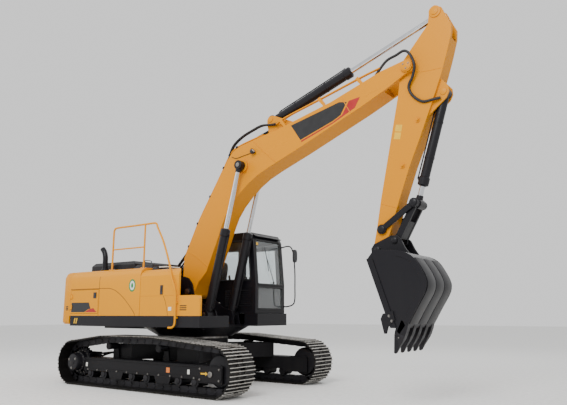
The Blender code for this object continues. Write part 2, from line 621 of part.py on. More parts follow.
def make_tanks(upper):
    rear = HOUSING_FRONT + 0.008
    upper_box = [(-BODY_HALF, TANK_SPLIT + SEAT_GAP), (-BODY_HALF, TANK_TOP - 0.12),
                 (-BODY_HALF + 0.02, TANK_TOP - 0.06), (-BODY_HALF + 0.09, TANK_TOP - 0.01),
                 (-BODY_HALF + 0.17, TANK_TOP), (-TANK_INNER, TANK_TOP), (-TANK_INNER, TANK_SPLIT + SEAT_GAP)]
    tank = loft([[(x, y, z) for y, z in upper_box] for x in (rear, TANK_FRONT)])
    carve(tank, ahead_of(TANK_SLANT, TANK_SPLIT - 0.1, TANK_TOP + 0.1))
    for outer, wall, low, high in ((-BODY_HALF + 0.04, 0.020, TANK_SPLIT - 0.1, TANK_TOP - 0.14),
                                   (-BODY_HALF + 0.18, 0.023, TANK_SPLIT, TANK_TOP - 0.02)):
        carve(tank, behind(TANK_SLANT, rear + wall, outer, -TANK_INNER - wall, wall, low, high))
    finish(tank, "fuel_tank", "yellow", upper)
    top = TANK_SPLIT
    outline = [(rear, SKIRT_TOP + SEAT_GAP), (WING_FRONT, SKIRT_TOP + SEAT_GAP), (WING_FRONT - 0.005, top - 0.16),
               (WING_FRONT - 0.02, top - 0.07), (WING_FRONT - 0.05, top - 0.025), (WING_FRONT - 0.10, top),
               (rear, top)]
    box = side_plate(outline, -BODY_HALF, -WING_INNER)
    carve(box, ahead_of(BOX_SLANT, SKIRT_TOP - 0.1, top + 0.1))
    carve(box, behind(BOX_SLANT, rear + 0.03, -BODY_HALF + 0.20, -WING_INNER - 0.03, 0.03,
                      SKIRT_TOP - 0.1, top - 0.03))
    carve(box, block((rear + 0.03, -BODY_HALF + 0.03, SKIRT_TOP - 0.1),
                     (WING_FRONT - 0.24, -BODY_HALF + 0.21, top - 0.03)))
    finish(box, "storage_box", "yellow", upper)


def cab_outline():
    """Side view of the cab, (x, z)."""
    return [(CAB_REAR, CAB_FLOOR), (CAB_FRONT, CAB_FLOOR), (CAB_FRONT, 1.85), (1.01, 2.70), (0.93, CAB_ROOF),
            (CAB_REAR + 0.10, CAB_ROOF), (CAB_REAR, CAB_ROOF - 0.09)]


DOOR_FRAME = [(0.0, 1.34), (0.99, 1.34), (0.99, 1.85), (0.93, 2.66), (0.0, 2.66)]
REAR_LIGHT = [(-0.56, 1.90), (-0.10, 1.90), (-0.10, 2.62), (-0.56, 2.62)]
SIDE_LIGHT = [(-0.54, 1.92), (0.96, 1.92), (0.90, 2.68), (-0.54, 2.68)]
DOOR_LIGHT = [(0.08, 1.80), (0.91, 1.80), (0.91, 1.86), (0.86, 2.58), (0.08, 2.58)]
FRONT_HIGH = (1.84, 2.70)        # z of the upper windscreen
FRONT_LOW = (1.37, 1.785)        # z of the lower windscreen
LIGHT_SIDE = 0.07                # frame beside the windscreens
BACK_LIGHT = (1.92, 2.66)


def front_slope(z):
    """X of the cab's outer front face at height z."""
    if z <= 1.85:
        return CAB_FRONT
    return CAB_FRONT + (1.01 - CAB_FRONT) * (z - 1.85) / (2.70 - 1.85)


def front_pane(levels, gap, depth, thick):
    """A pane that follows the cab's front between two heights, depth behind the outer face."""
    low, high = levels[0] + gap, levels[1] - gap
    outline = [(front_slope(low) - depth - thick, low), (front_slope(low) - depth, low),
               (front_slope(high) - depth, high), (front_slope(high) - depth - thick, high)]
    return side_plate(outline, CAB_INNER + LIGHT_SIDE + gap, CAB_OUTER - LIGHT_SIDE - gap)


def make_cab(upper):
    shell = side_plate(cab_outline(), CAB_INNER, CAB_OUTER)
    carve(shell, side_plate(inset(cab_outline(), CAB_WALL), CAB_INNER + CAB_WALL, CAB_OUTER - CAB_WALL))
    carve(shell, side_plate(inset(DOOR_FRAME, -PANEL_GAP), CAB_OUTER - 0.1, CAB_OUTER + 0.1))
    carve(shell, side_plate(REAR_LIGHT, CAB_OUTER - 0.1, CAB_OUTER + 0.1))
    carve(shell, side_plate(SIDE_LIGHT, CAB_INNER - 0.1, CAB_INNER + 0.1))
    carve(shell, front_pane(FRONT_HIGH, 0.0, -0.1, 0.25))
    carve(shell, front_pane(FRONT_LOW, 0.0, -0.1, 0.25))
    carve(shell, block((CAB_REAR - 0.1, CAB_INNER + LIGHT_SIDE, BACK_LIGHT[0]),
                       (CAB_REAR + 0.1, CAB_OUTER - LIGHT_SIDE, BACK_LIGHT[1])))
    finish(shell, "cab_shell", "black", upper)

    middle = (CAB_WALL - PANE) / 2
    finish(front_pane(FRONT_HIGH, SEAT_GAP, middle, PANE), "windscreen_upper", "glass", upper)
    finish(front_pane(FRONT_LOW, SEAT_GAP, middle, PANE), "windscreen_lower", "glass", upper)
    finish(side_plate(inset(SIDE_LIGHT, SEAT_GAP), CAB_INNER + middle, CAB_INNER + middle + PANE),
           "window_right", "glass", upper)
    finish(side_plate(inset(REAR_LIGHT, SEAT_GAP), CAB_OUTER - middle - PANE, CAB_OUTER - middle),
           "window_left", "glass", upper)
    back = block((CAB_REAR + middle, CAB_INNER + LIGHT_SIDE + SEAT_GAP, BACK_LIGHT[0] + SEAT_GAP),
                 (CAB_REAR + middle + PANE, CAB_OUTER - LIGHT_SIDE - SEAT_GAP, BACK_LIGHT[1] - SEAT_GAP))
    finish(back, "window_rear", "glass", upper)

    axis_y = CAB_OUTER + HINGE_RADIUS + SEAT_GAP
    hinge = make_empty("cab_door_axis", (-HINGE_SET, axis_y, 1.34), upper)
    door = side_plate(DOOR_FRAME, CAB_OUTER - CAB_WALL, CAB_OUTER)
    for z in (1.46, 2.40):
        join(door, hinge_knuckle(-HINGE_SET, axis_y, 1, 1, z, CAB_OUTER))
    carve(door, side_plate(DOOR_LIGHT, CAB_OUTER - 0.1, CAB_OUTER + 0.1))
    finish(door, "cab_door", "black", hinge)
    finish(side_plate(inset(DOOR_LIGHT, SEAT_GAP), CAB_OUTER - middle - PANE, CAB_OUTER - middle),
           "door_glass", "glass", hinge)

    floor = CAB_FLOOR + CAB_WALL + SEAT_GAP
    seat_y = (CAB_INNER + CAB_OUTER) / 2
    seat = block((-0.28, seat_y - 0.18, floor), (0.18, seat_y + 0.18, floor + 0.30))
    join(seat, block((-0.26, seat_y - 0.25, floor + 0.27), (0.24, seat_y + 0.25, floor + 0.42)))
    back_rest = [(-0.30, floor + 0.32), (-0.16, floor + 0.32), (-0.24, floor + 1.02), (-0.36, floor + 1.02)]
    join(seat, side_plate(back_rest, seat_y - 0.24, seat_y + 0.24))
    console = (CAB_OUTER - CAB_INNER) / 2 - CAB_WALL - 0.10
    for side in (-1, 1):
        y = seat_y + side * console
        join(seat, block((-0.22, y - 0.095, floor + 0.29), (0.42, y + 0.095, floor + 0.50)))
    finish(seat, "operator_seat", "fabric", upper)


def make_trim(upper):
    exhaust = pipe([(-1.40, -1.10, HOUSING_TOP + SEAT_GAP), (-1.40, -1.10, HOUSING_TOP + 0.20),
                    (-1.405, -1.10, HOUSING_TOP + 0.29), (-1.43, -1.10, HOUSING_TOP + 0.37),
                    (-1.49, -1.10, HOUSING_TOP + 0.43)], 0.05, 12)
    finish(exhaust, "exhaust_pipe", "black", upper, smooth=True)

    rail_y = -1.20
    side_y = -BODY_HALF - 0.035
    high = 2.88
    rail = pipe([(-1.06, rail_y, HOUSING_TOP - 0.004), (-1.06, rail_y, high - 0.09), (-1.035, rail_y, high - 0.025),
                 (-0.97, rail_y, high), (-0.4, rail_y, high + 0.005), (0.05, rail_y, high + 0.01),
                 (0.11, rail_y - 0.005, high - 0.01), (0.15, rail_y - 0.01, high - 0.07),
                 (0.58, -1.30, 2.10), (0.70, side_y, 1.92), (0.80, side_y, 1.72), (0.825, side_y, 1.60),
                 (0.83, side_y, 1.17), (0.81, side_y, 1.10), (0.75, side_y, 1.065), (0.68, side_y, 1.06)], 0.018)
    join(rail, pipe([(-0.19, rail_y, HOUSING_TOP - 0.004), (-0.19, rail_y, high + 0.004)], 0.016))
    join(rail, pipe([(-1.06, rail_y, 2.47), (-0.19, rail_y, 2.47)], 0.014))
    for x, y, z in ((-1.06, rail_y, HOUSING_TOP + SEAT_GAP), (-0.19, rail_y, HOUSING_TOP + SEAT_GAP)):
        carve(rail, block((x - 0.1, y - 0.1, z - 0.2), (x + 0.1, y + 0.1, z)))
    for z in (1.20, 1.45):
        join(rail, block((0.80, side_y, z), (0.85, -BODY_HALF - SEAT_GAP, z + 0.03)))
    finish(rail, "handrail", "yellow", upper, smooth=True)

    front = PLATFORM_FRONT + 0.17
    guard = pipe([(CAB_FRONT - 0.05 + SEAT_GAP, 1.33, 2.60), (front - 0.08, 1.34, 2.63), (front, 1.37, 2.56),
                  (front + 0.01, 1.40, 2.40), (front + 0.02, 1.42, 1.95), (front + 0.02, 1.42, 1.60),
                  (front - 0.02, 1.40, 1.46), (PLATFORM_FRONT, 1.36, 1.42), (CAB_FRONT + SEAT_GAP, 1.36, 1.42)], 0.013)
    join(guard, block((front - 0.015, 1.385, 2.30), (front + 0.02, 1.485, 2.56)))
    finish(guard, "mirror_guard", "black", upper)


# ---------------------------------------------------------------- working equipment
# Edges as (along, above): the lower ones towards the tip, the upper ones back from it.
BOOM_LOWER = [(-0.10, -0.09), (0.04, -0.12), (0.30, 0.0), (0.56, 0.035), (1.11, 0.348), (1.33, 0.484), (1.54, 0.594),
              (1.77, 0.663), (2.03, 0.698), (2.28, 0.706), (2.52, 0.684), (2.80, 0.618), (3.50, 0.418), (4.73, 0.094), (5.24, -0.02), (5.58, -0.075), (5.72, -0.125), (5.82, -0.04)]
BOOM_UPPER = [(5.81, 0.07), (5.71, 0.125), (5.35, 0.294), (4.41, 0.601), (3.33, 1.055), (3.05, 1.20), (2.58, 1.42),
              (2.47, 1.455), (2.37, 1.465), (2.28, 1.455), (2.20, 1.43), (1.96, 1.34), (0.99, 0.97), (0.26, 0.62), (0.05, 0.36), (-0.08, 0.14)]
ARM_LOWER = [(-1.00, 0.27), (-0.93, 0.20), (-0.69, 0.215), (-0.13, -0.10), (0.0, -0.13), (0.47, -0.10),
             (1.34, -0.10), (2.15, -0.11), (2.60, -0.10), (2.90, -0.105), (3.01, -0.04)]
ARM_UPPER = [(3.01, 0.04), (2.93, 0.10), (2.60, 0.135), (2.08, 0.205), (1.56, 0.286), (1.17, 0.37), (0.72, 0.455),
             (0.41, 0.512), (0.10, 0.565), (-0.23, 0.60), (-0.51, 0.62), (-0.66, 0.60), (-0.80, 0.50), (-0.96, 0.39)]


def hollow(lower, upper, wall, start, end, start_points, end_points):
    """The inside of a box section between two stations, closed by the given end points."""
    inner = inset(lower + upper, wall)
    low = [p for p in inner[:len(lower)] if start < p[0] < end]
    high = [p for p in inner[len(lower):] if start < p[0] < end]
    return start_points + low + end_points + high


def make_boom(joint):
    boom = side_plate([on_boom(p) for p in BOOM_LOWER + BOOM_UPPER], -BOOM_HALF, BOOM_HALF)
    slot_end = NOSE_SLOT_START + 0.04
    inner = hollow(BOOM_LOWER, BOOM_UPPER, BOOM_WALL, 0.2, NOSE_SLOT_START, [], [(slot_end, 0.01), (slot_end, 0.31)])
    carve(boom, side_plate([on_boom(p) for p in inner], -BOOM_HALF + BOOM_WALL, BOOM_HALF - BOOM_WALL))
    slot = [(NOSE_SLOT_START, -0.5), (6.2, -0.5), (6.2, 0.9), (NOSE_SLOT_START, 0.9)]
    carve(boom, side_plate([on_boom(p) for p in slot], -NOSE_SLOT_HALF, NOSE_SLOT_HALF))
    join(boom, drum(BOOM_FOOT, 0.13, -BRACKET_INNER + SEAT_GAP, BRACKET_INNER - SEAT_GAP))
    for side in (-1, 1):
        near, far = span(side, BOOM_HALF - 0.01, LIFT_Y - LIFT_ROD_EYE / 2 - PIN_GAP)
        join(boom, drum(on_boom(LIFT_PIN), 0.115, near, far))
        join(boom, drum(BOOM_TIP, 0.10, *span(side, BOOM_HALF - 0.02, BOOM_HALF + 0.035)))
        lug = [(3.10, 1.10), (3.22, 1.36), (3.27, 1.43), (3.33, 1.452), (3.39, 1.43), (3.44, 1.36), (3.70, 0.88)]
        near, far = span(side, CROWD_EYE / 2 + SEAT_GAP, CROWD_EYE / 2 + 0.03)
        join(boom, side_plate([on_boom(p) for p in lug], near, far))
    finish(boom, "boom", "yellow", joint)


def make_arm(joint):
    arm = side_plate([on_arm(p) for p in ARM_LOWER + ARM_UPPER], -ARM_HALF, ARM_HALF)
    inner = hollow(ARM_LOWER, ARM_UPPER, ARM_WALL, -0.55, 2.75, [(-0.50, 0.13)], [(2.72, -0.085), (2.72, 0.10)])
    carve(arm, side_plate([on_arm(p) for p in inner], -ARM_HALF + ARM_WALL, ARM_HALF - ARM_WALL))
    slot = [(-1.3, -0.4), (-0.47, -0.4), (-0.47, 0.9), (-1.3, 0.9)]
    carve(arm, side_plate([on_arm(p) for p in slot], -ARM_FORK_HALF, ARM_FORK_HALF))
    join(arm, drum(BOOM_TIP, 0.115, -NOSE_SLOT_HALF + SEAT_GAP, NOSE_SLOT_HALF - SEAT_GAP))
    join(arm, drum(BUCKET_PIN, 0.105, -EAR_INNER + SEAT_GAP, EAR_INNER - SEAT_GAP))
    join(arm, drum(on_arm(ROCKER_PIN), 0.07, -ROCKER_INNER + SEAT_GAP, ROCKER_INNER - SEAT_GAP))
    for side in (-1, 1):
        lug = [(0.14, 0.50), (0.29, 0.68), (0.385, 0.705), (0.48, 0.68), (0.80, 0.42)]
        near, far = span(side, CURL_EYE / 2 + SEAT_GAP, CURL_EYE / 2 + 0.028)
        join(arm, side_plate([on_arm(p) for p in lug], near, far))
    finish(arm, "arm", "yellow", joint)


def make_linkage(rocker_joint, link_joint):
    """The rocker's two plates, tied by a bar over the arm, and the H-shaped link to the bucket."""
    foot, head = Vector(on_arm(ROCKER_PIN)), Vector(on_arm(CURL_PIN))
    reach = (head - foot).normalized()
    across = Vector((-reach.y, reach.x))

    def bar(start, end, wide_start, wide_end):
        return [tuple(start + across * wide_start), tuple(start - across * wide_start),
                tuple(end - across * wide_end), tuple(end + across * wide_end)]
    outer = ROCKER_INNER + ROCKER_PLATE
    pieces = []
    for side in (-1, 1):
        plate = side_plate(bar(foot, head, 0.045, 0.045), *span(side, ROCKER_INNER, outer))
        join(plate, drum(tuple(foot), 0.075, *span(side, ROCKER_INNER, outer + 0.01), 20))
        join(plate, drum(tuple(head), 0.07, *span(side, ROCKER_INNER, outer + 0.01), 20))
        pieces.append(plate)
    for plate, name in zip(pieces, ("rocker_right", "rocker_left")):
        finish(plate, name, "grey", rocker_joint)

    pin = Vector(on_bucket(BUCKET_LINK))
    reach = (pin - head).normalized()
    across = Vector((-reach.y, reach.x))
    link = None
    for side in (-1, 1):
        plate = side_plate(bar(head, pin, 0.05, 0.05), *span(side, LINK_INNER, LINK_INNER + LINK_PLATE))
        join(plate, drum(tuple(head), 0.07, *span(side, LINK_INNER, ROCKER_INNER - SEAT_GAP), 20))
        join(plate, drum(tuple(pin), 0.075, *span(side, LINK_INNER, EAR_INNER - PIN_GAP), 20))
        link = plate if link is None else join(link, plate)
    middle = head.lerp(pin, 0.60)
    corners = ((-0.10, -0.045), (0.20, -0.045), (0.20, 0.045), (-0.10, 0.045))
    web = [tuple(middle + reach * along + across * above) for along, above in corners]
    join(link, side_plate(web, -LINK_INNER - 0.01, LINK_INNER + 0.01))
    finish(link, "bucket_link", "grey", link_joint)


BUCKET_OUTLINE = [(-0.04, -0.17), (0.31, -1.17), (0.545, -1.17), (0.715, -0.886), (0.843, -0.68), (0.878, -0.57),
                  (0.868, -0.472), (0.80, -0.328), (0.702, -0.181), (0.58, -0.10), (0.44, -0.06), (0.074, -0.03)]
# A tooth's sections from the tip up: height, rear and front x, half width.
TOOTH = [(-1.515, 0.348, 0.376, 0.018), (-1.32, 0.355, 0.490, 0.034), (-1.28, 0.360, 0.515, 0.0475),
         (-1.15, 0.400, 0.565, 0.0475), (-1.05, 0.470, 0.610, 0.0475)]
SIDE_CUTTER = [(0.36, -0.93), (0.20, -0.97), (0.165, -1.04), (0.215, -1.25), (0.25, -1.25), (0.28, -1.15),
               (0.39, -1.06)]


def make_bucket(joint):
    bucket = side_plate([on_bucket(p) for p in BUCKET_OUTLINE], -BUCKET_HALF, BUCKET_HALF)
    inner = inset(BUCKET_OUTLINE, BUCKET_PLATE)
    mouth = [(-0.40, -0.17), (0.05, -1.30), (0.50, -1.30), inner[2]]
    inner = mouth + inner[3:-1] + [(0.08, inner[-1][1] - 0.04), (-0.02, -0.12)]
    carve(bucket, side_plate([on_bucket(p) for p in inner], -BUCKET_HALF + BUCKET_PLATE, BUCKET_HALF - BUCKET_PLATE))
    carve(bucket, drum(BUCKET_PIN, 0.25, -EAR_INNER - EAR_PLATE - 0.02, EAR_INNER + EAR_PLATE + 0.02, 32))
    ear = [(0.30, -0.16), (-0.02, -0.12), (-0.10, -0.06), (-0.11, 0.02), (-0.06, 0.09), (0.02, 0.12), (0.22, 0.20),
           (0.31, 0.205), (0.38, 0.15), (0.44, 0.02), (0.56, -0.16)]
    boss = (EAR_INNER + 0.01, EAR_INNER + EAR_PLATE + 0.02)
    for side in (-1, 1):
        join(bucket, side_plate([on_bucket(p) for p in ear], *span(side, EAR_INNER, EAR_INNER + EAR_PLATE)))
        join(bucket, drum(BUCKET_PIN, 0.055, *span(side, *boss), 16))
        join(bucket, drum(on_bucket(BUCKET_LINK), 0.055, *span(side, *boss), 16))
        near, far = span(side, BUCKET_HALF - 0.01, BUCKET_HALF + 0.025)
        join(bucket, side_plate([on_bucket(p) for p in SIDE_CUTTER], near, far))
    for number in range(5):
        y = (BUCKET_HALF - TOOTH_WIDTH / 2) * (number / 2 - 1)
        rings = []
        for height, rear, front, half in TOOTH:
            low, high = y - half * TOOTH_WIDTH / 0.095, y + half * TOOTH_WIDTH / 0.095
            (x_rear, z), (x_front, _) = on_bucket((rear, height)), on_bucket((front, height))
            rings.append([(x_rear, low, z), (x_front, low, z), (x_front, high, z), (x_rear, high, z)])
        join(bucket, loft(rings))
    finish(bucket, "bucket", "black", joint)


def make_cylinder(name, base, pin, y, width, pin_width, sizes, base_joint, rod_joint):
    """A barrel with its base eye and gland, and a rod with its eye; base and pin are (x, z)."""
    barrel_radius, rod_radius, barrel_length, closed_length = sizes
    start, end = Vector((base[0], y, base[1])), Vector((pin[0], y, pin[1]))
    along = (end - start).normalized()
    eye = barrel_radius * 1.12
    barrel = rod_between(start + along * 0.02, start + along * barrel_length, barrel_radius)
    gland = [start + along * (barrel_length - back) for back in (0.13, 0.001)]
    join(barrel, rod_between(*gland, barrel_radius + 0.012))
    join(barrel, drum(base, eye, y - width / 2, y + width / 2))
    bore_start = eye + 0.04
    carve(barrel, rod_between(start + along * bore_start, start + along * (barrel_length + 0.1), rod_radius + 0.001))
    finish(barrel, f"{name}_barrel", "black", base_joint, smooth=True)
    rod_length = closed_length - bore_start - 0.07
    rod = rod_between(end - along * rod_length, end - along * 0.02, rod_radius)
    join(rod, rod_between(end - along * 0.13, end - along * 0.03, rod_radius + 0.014))
    join(rod, drum(pin, 0.085, y - pin_width / 2, y + pin_width / 2))
    finish(rod, f"{name}_rod", "chrome", rod_joint, smooth=True)


def build():
    clear_scene()
    root = make_empty("machine", (0.0, 0.0, 0.0))
    for side in (-1, 1):
        make_track(side, root)
        make_track_frame(side, root)
        make_idler(side, root)
        make_sprocket(side, root)
    make_carbody(root)

    upper = make_empty("swing_axis", (0.0, 0.0, BEARING_TOP), root)
    make_main_frame(upper)
    make_counterweight(upper)
    make_engine(upper)
    make_housing(upper)
    make_doors(upper)
    make_tanks(upper)
    make_cab(upper)
    make_trim(upper)

    boom_joint = make_empty("boom_axis", (BOOM_FOOT[0], 0.0, BOOM_FOOT[1]), upper)
    arm_joint = make_empty("arm_axis", (BOOM_TIP[0], 0.0, BOOM_TIP[1]), boom_joint)
    bucket_joint = make_empty("bucket_axis", (BUCKET_PIN[0], 0.0, BUCKET_PIN[1]), arm_joint)
    rocker_foot, rocker_head = on_arm(ROCKER_PIN), on_arm(CURL_PIN)
    rocker_joint = make_empty("rocker_axis", (rocker_foot[0], 0.0, rocker_foot[1]), arm_joint)
    link_joint = make_empty("bucket_link_axis", (rocker_head[0], 0.0, rocker_head[1]), rocker_joint)
    make_boom(boom_joint)
    make_arm(arm_joint)
    make_linkage(rocker_joint, link_joint)
    make_bucket(bucket_joint)

    for side in (-1, 1):
        name = f"boom_cylinder_{SIDE_NAME[side]}"
        base_joint = make_empty(f"{name}_axis", (LIFT_BASE[0], side * LIFT_Y, LIFT_BASE[1]), upper)
        pin = on_boom(LIFT_PIN)
        rod_joint = make_empty(f"{name}_slide", (pin[0], side * LIFT_Y, pin[1]), base_joint)
        make_cylinder(name, LIFT_BASE, pin, side * LIFT_Y, LIFT_EYE, LIFT_ROD_EYE, (0.078, 0.042, 1.60, 1.88),
                      base_joint, rod_joint)
    base, pin = on_boom(CROWD_BASE), on_arm(CROWD_PIN)
    base_joint = make_empty("arm_cylinder_axis", (base[0], 0.0, base[1]), boom_joint)
    rod_joint = make_empty("arm_cylinder_slide", (pin[0], 0.0, pin[1]), base_joint)
    make_cylinder("arm_cylinder", base, pin, 0.0, CROWD_EYE, CROWD_ROD_EYE, (0.085, 0.048, 1.74, 1.92),
                  base_joint, rod_joint)
    base, pin = on_arm(CURL_BASE), on_arm(CURL_PIN)
    base_joint = make_empty("bucket_cylinder_axis", (base[0], 0.0, base[1]), arm_joint)
    rod_joint = make_empty("bucket_cylinder_slide", (pin[0], 0.0, pin[1]), base_joint)
    make_cylinder("bucket_cylinder", base, pin, 0.0, CURL_EYE, CURL_ROD_EYE, (0.072, 0.040, 1.47, 1.70),
                  base_joint, rod_joint)

    bpy.context.view_layer.update()
    reach = [(item.matrix_world @ Vector(corner)).x for item in bpy.data.objects if item.type == "MESH"
             for corner in item.bound_box]
    root.location.x = -(min(reach) + max(reach)) / 2
    bpy.context.view_layer.update()


build()
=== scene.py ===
# Crawler excavator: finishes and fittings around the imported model.
# Places are in metres from the swing axis: x forward, y left, z up from the ground.
import json
import math

import bmesh
import bpy
import numpy as np
from mathutils import Matrix, Vector

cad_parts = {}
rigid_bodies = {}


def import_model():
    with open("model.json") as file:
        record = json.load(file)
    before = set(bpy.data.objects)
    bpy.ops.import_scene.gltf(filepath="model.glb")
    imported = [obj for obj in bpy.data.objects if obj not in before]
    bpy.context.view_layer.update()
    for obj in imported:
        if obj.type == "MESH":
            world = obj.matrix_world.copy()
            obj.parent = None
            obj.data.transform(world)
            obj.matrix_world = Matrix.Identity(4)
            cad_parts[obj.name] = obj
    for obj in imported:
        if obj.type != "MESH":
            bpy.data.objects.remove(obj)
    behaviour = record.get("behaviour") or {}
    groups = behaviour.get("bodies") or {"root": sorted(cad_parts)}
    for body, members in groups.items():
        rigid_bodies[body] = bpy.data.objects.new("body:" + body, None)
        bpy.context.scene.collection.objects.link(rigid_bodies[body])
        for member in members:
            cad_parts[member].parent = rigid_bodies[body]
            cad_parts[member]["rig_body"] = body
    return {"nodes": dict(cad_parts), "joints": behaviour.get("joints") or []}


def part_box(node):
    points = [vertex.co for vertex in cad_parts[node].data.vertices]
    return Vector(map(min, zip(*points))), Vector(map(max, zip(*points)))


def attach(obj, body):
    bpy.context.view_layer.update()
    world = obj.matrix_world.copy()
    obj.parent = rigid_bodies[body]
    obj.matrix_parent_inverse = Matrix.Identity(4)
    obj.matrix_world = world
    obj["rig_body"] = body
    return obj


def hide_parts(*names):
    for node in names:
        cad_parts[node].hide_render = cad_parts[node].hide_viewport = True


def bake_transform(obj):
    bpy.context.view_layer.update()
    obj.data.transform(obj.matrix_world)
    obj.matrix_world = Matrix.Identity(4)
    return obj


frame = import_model()
nodes = frame["nodes"]
joints = {joint["name"]: joint for joint in frame["joints"]}
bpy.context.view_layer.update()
print("frame loaded:", len(nodes), "nodes")

swingX = joints["swing"]["pos_m"][0]


def at(x, y, z):
    return np.array([x + swingX, y, z], float)


def pivot(name):
    return np.array(joints[name]["pos_m"], float)


def lever(origin, target):
    # a member's own axes in the x-z plane: along towards its far pin, across turned a quarter up from it
    along = (target - origin) / np.linalg.norm(target - origin)
    across = np.array([-along[2], 0.0, along[0]])

    def place(u, w, y=0.0):
        return origin + along * u + across * w + np.array([0.0, y, 0.0])
    return place, along


onBoom, boomAlong = lever(pivot("boom_lift"), pivot("arm_crowd"))
onArm = lever(pivot("arm_crowd"), pivot("bucket_curl"))[0]
bucketPin = pivot("bucket_curl")
xAxis, yAxis, zAxis = np.eye(3)


# camera, light and floor
studio = {
    "camera": (7.893, -8.320, 1.268),
    "yaw": 125.09,            # direction of view, degrees from straight ahead
    "pitch": 10.93,
    "lens": 36.80,
    "worldGrey": 1.0,
    "worldStrength": 1.0,
    "keyPower": 1500.0,
    "fillPower": 250.0,
}


def linear(hexColour):
    # sRGB hex to linear rgb
    value = np.array([int(hexColour[i:i + 2], 16) for i in (1, 3, 5)]) / 255
    return tuple(np.where(value <= 0.04045, value / 12.92, ((value + 0.055) / 1.055) ** 2.4))


def setStudio():
    scene = bpy.context.scene
    camera = bpy.data.objects.new("camera", bpy.data.cameras.new("camera"))
    scene.collection.objects.link(camera)
    yaw, pitch = math.radians(studio["yaw"]), math.radians(studio["pitch"])
    look = Vector((math.cos(yaw) * math.cos(pitch), math.sin(yaw) * math.cos(pitch), math.sin(pitch)))
    camera.location = at(*studio["camera"])
    camera.rotation_euler = look.to_track_quat("-Z", "Y").to_euler()
    camera.data.sensor_width = 36
    camera.data.lens = studio["lens"]
    camera.data.clip_end = 200
    scene.camera = camera

    world = bpy.data.worlds.new("studio")
    world.use_nodes = True
    sky = world.node_tree.nodes["Background"]
    sky.inputs["Color"].default_value = (*[studio["worldGrey"]] * 3, 1)
    sky.inputs["Strength"].default_value = studio["worldStrength"]
    scene.world = world
    for name, place, size, power in (("key", (5.0, -11.0, 11.0), 7.0, studio["keyPower"]),
                                     ("fill", (-9.0, -6.0, 7.0), 7.0, studio["fillPower"]),
                                     ("back", (2.0, 10.0, 10.0), 6.0, studio["fillPower"])):
        light = bpy.data.objects.new(name, bpy.data.lights.new(name, "AREA"))
        light.data.size = size
        light.data.energy = power
        light.location = at(*place)
        aim = Vector(at(0.5, 0, 2.2)) - light.location
        light.rotation_euler = aim.to_track_quat("-Z", "Y").to_euler()
        scene.collection.objects.link(light)
    print("studio set")


# finishes
def addNode(tree, kind, settings=None, links=None):
    node = tree.nodes.new(kind)
    for key, value in (settings or {}).items():
        if isinstance(key, int) or key in node.inputs:
            node.inputs[key].default_value = value
        else:
            setattr(node, key, value)
    for key, source in (links or {}).items():
        tree.links.new(source[0].outputs[source[1]], node.inputs[key])
    return node


def startFinish(name, **sockets):
    material = bpy.data.materials.new(name)
    material.use_nodes = True
    shader = material.node_tree.nodes["Principled BSDF"]
    for key, value in sockets.items():
        shader.inputs[key.replace("_", " ")].default_value = value
    return material, material.node_tree, shader


def noiseAt(tree, place, scale, detail=3.0, roughness=0.55):
    return addNode(tree, "ShaderNodeTexNoise", {"Scale": scale, "Detail": detail, "Roughness": roughness},
                   {"Vector": (place, "Object")})


def blendOf(tree, factor, low, high, lowColour, highColour):
    ramp = addNode(tree, "ShaderNodeValToRGB", {}, {"Fac": factor})
    ramp.color_ramp.elements[0].position = low
    ramp.color_ramp.elements[1].position = high
    ramp.color_ramp.elements[0].color = (*lowColour, 1)
    ramp.color_ramp.elements[1].color = (*highColour, 1)
    return ramp


def rangeOf(tree, factor, low, high, outLow, outHigh):
    return addNode(tree, "ShaderNodeMapRange", {"From Min": low, "From Max": high, "To Min": outLow,
                                                "To Max": outHigh},
                   {"Value": factor})


def enamel(name, colour, dusty, rough=0.36, dust=0.35, peel=0.05, coat=0.04, gloss=0.12):
    # sprayed two-pack enamel: an even film with faint orange peel, duller where dust has settled low down
    material, tree, shader = startFinish(name, IOR=1.5, Specular_IOR_Level=gloss, Coat_Weight=coat,
                                         Coat_Roughness=0.15)
    place = addNode(tree, "ShaderNodeTexCoord")
    cloud = noiseAt(tree, place, 1.4, 5.0, 0.6)
    streak = addNode(tree, "ShaderNodeTexNoise", {"Scale": 1.0, "Detail": 6.0, "Roughness": 0.65}, {
        "Vector": (addNode(tree, "ShaderNodeMapping", {"Scale": (14.0, 14.0, 1.2)}, {"Vector": (place, "Object")}),
                   "Vector")})
    height = addNode(tree, "ShaderNodeSeparateXYZ", {}, {"Vector": (place, "Object")})
    low = rangeOf(tree, (height, "Z"), 0.2, 2.2, 1.0, 0.25)
    amount = addNode(tree, "ShaderNodeMath", {"operation": "MULTIPLY"}, {0: (cloud, "Fac"), 1: (streak, "Fac")})
    amount = addNode(tree, "ShaderNodeMath", {"operation": "MULTIPLY"}, {0: (amount, 0), 1: (low, "Result")})
    film = rangeOf(tree, (amount, 0), 0.06, 0.45, 0.0, dust)
    mixed = addNode(tree, "ShaderNodeMix", {"data_type": "RGBA", 6: (*linear(colour), 1), 7: (*linear(dusty), 1)},
                    {0: (film, "Result")})
    tree.links.new(mixed.outputs[2], shader.inputs["Base Color"])
    dull = rangeOf(tree, (amount, 0), 0.0, 0.5, rough, rough + 0.22)
    tree.links.new(dull.outputs["Result"], shader.inputs["Roughness"])
    grain = noiseAt(tree, place, 260.0, 2.0)      # orange peel of about 4 mm
    bump = addNode(tree, "ShaderNodeBump", {"Strength": peel, "Distance": 0.002}, {"Height": (grain, "Fac")})
    tree.links.new(bump.outputs["Normal"], shader.inputs["Normal"])
    return material


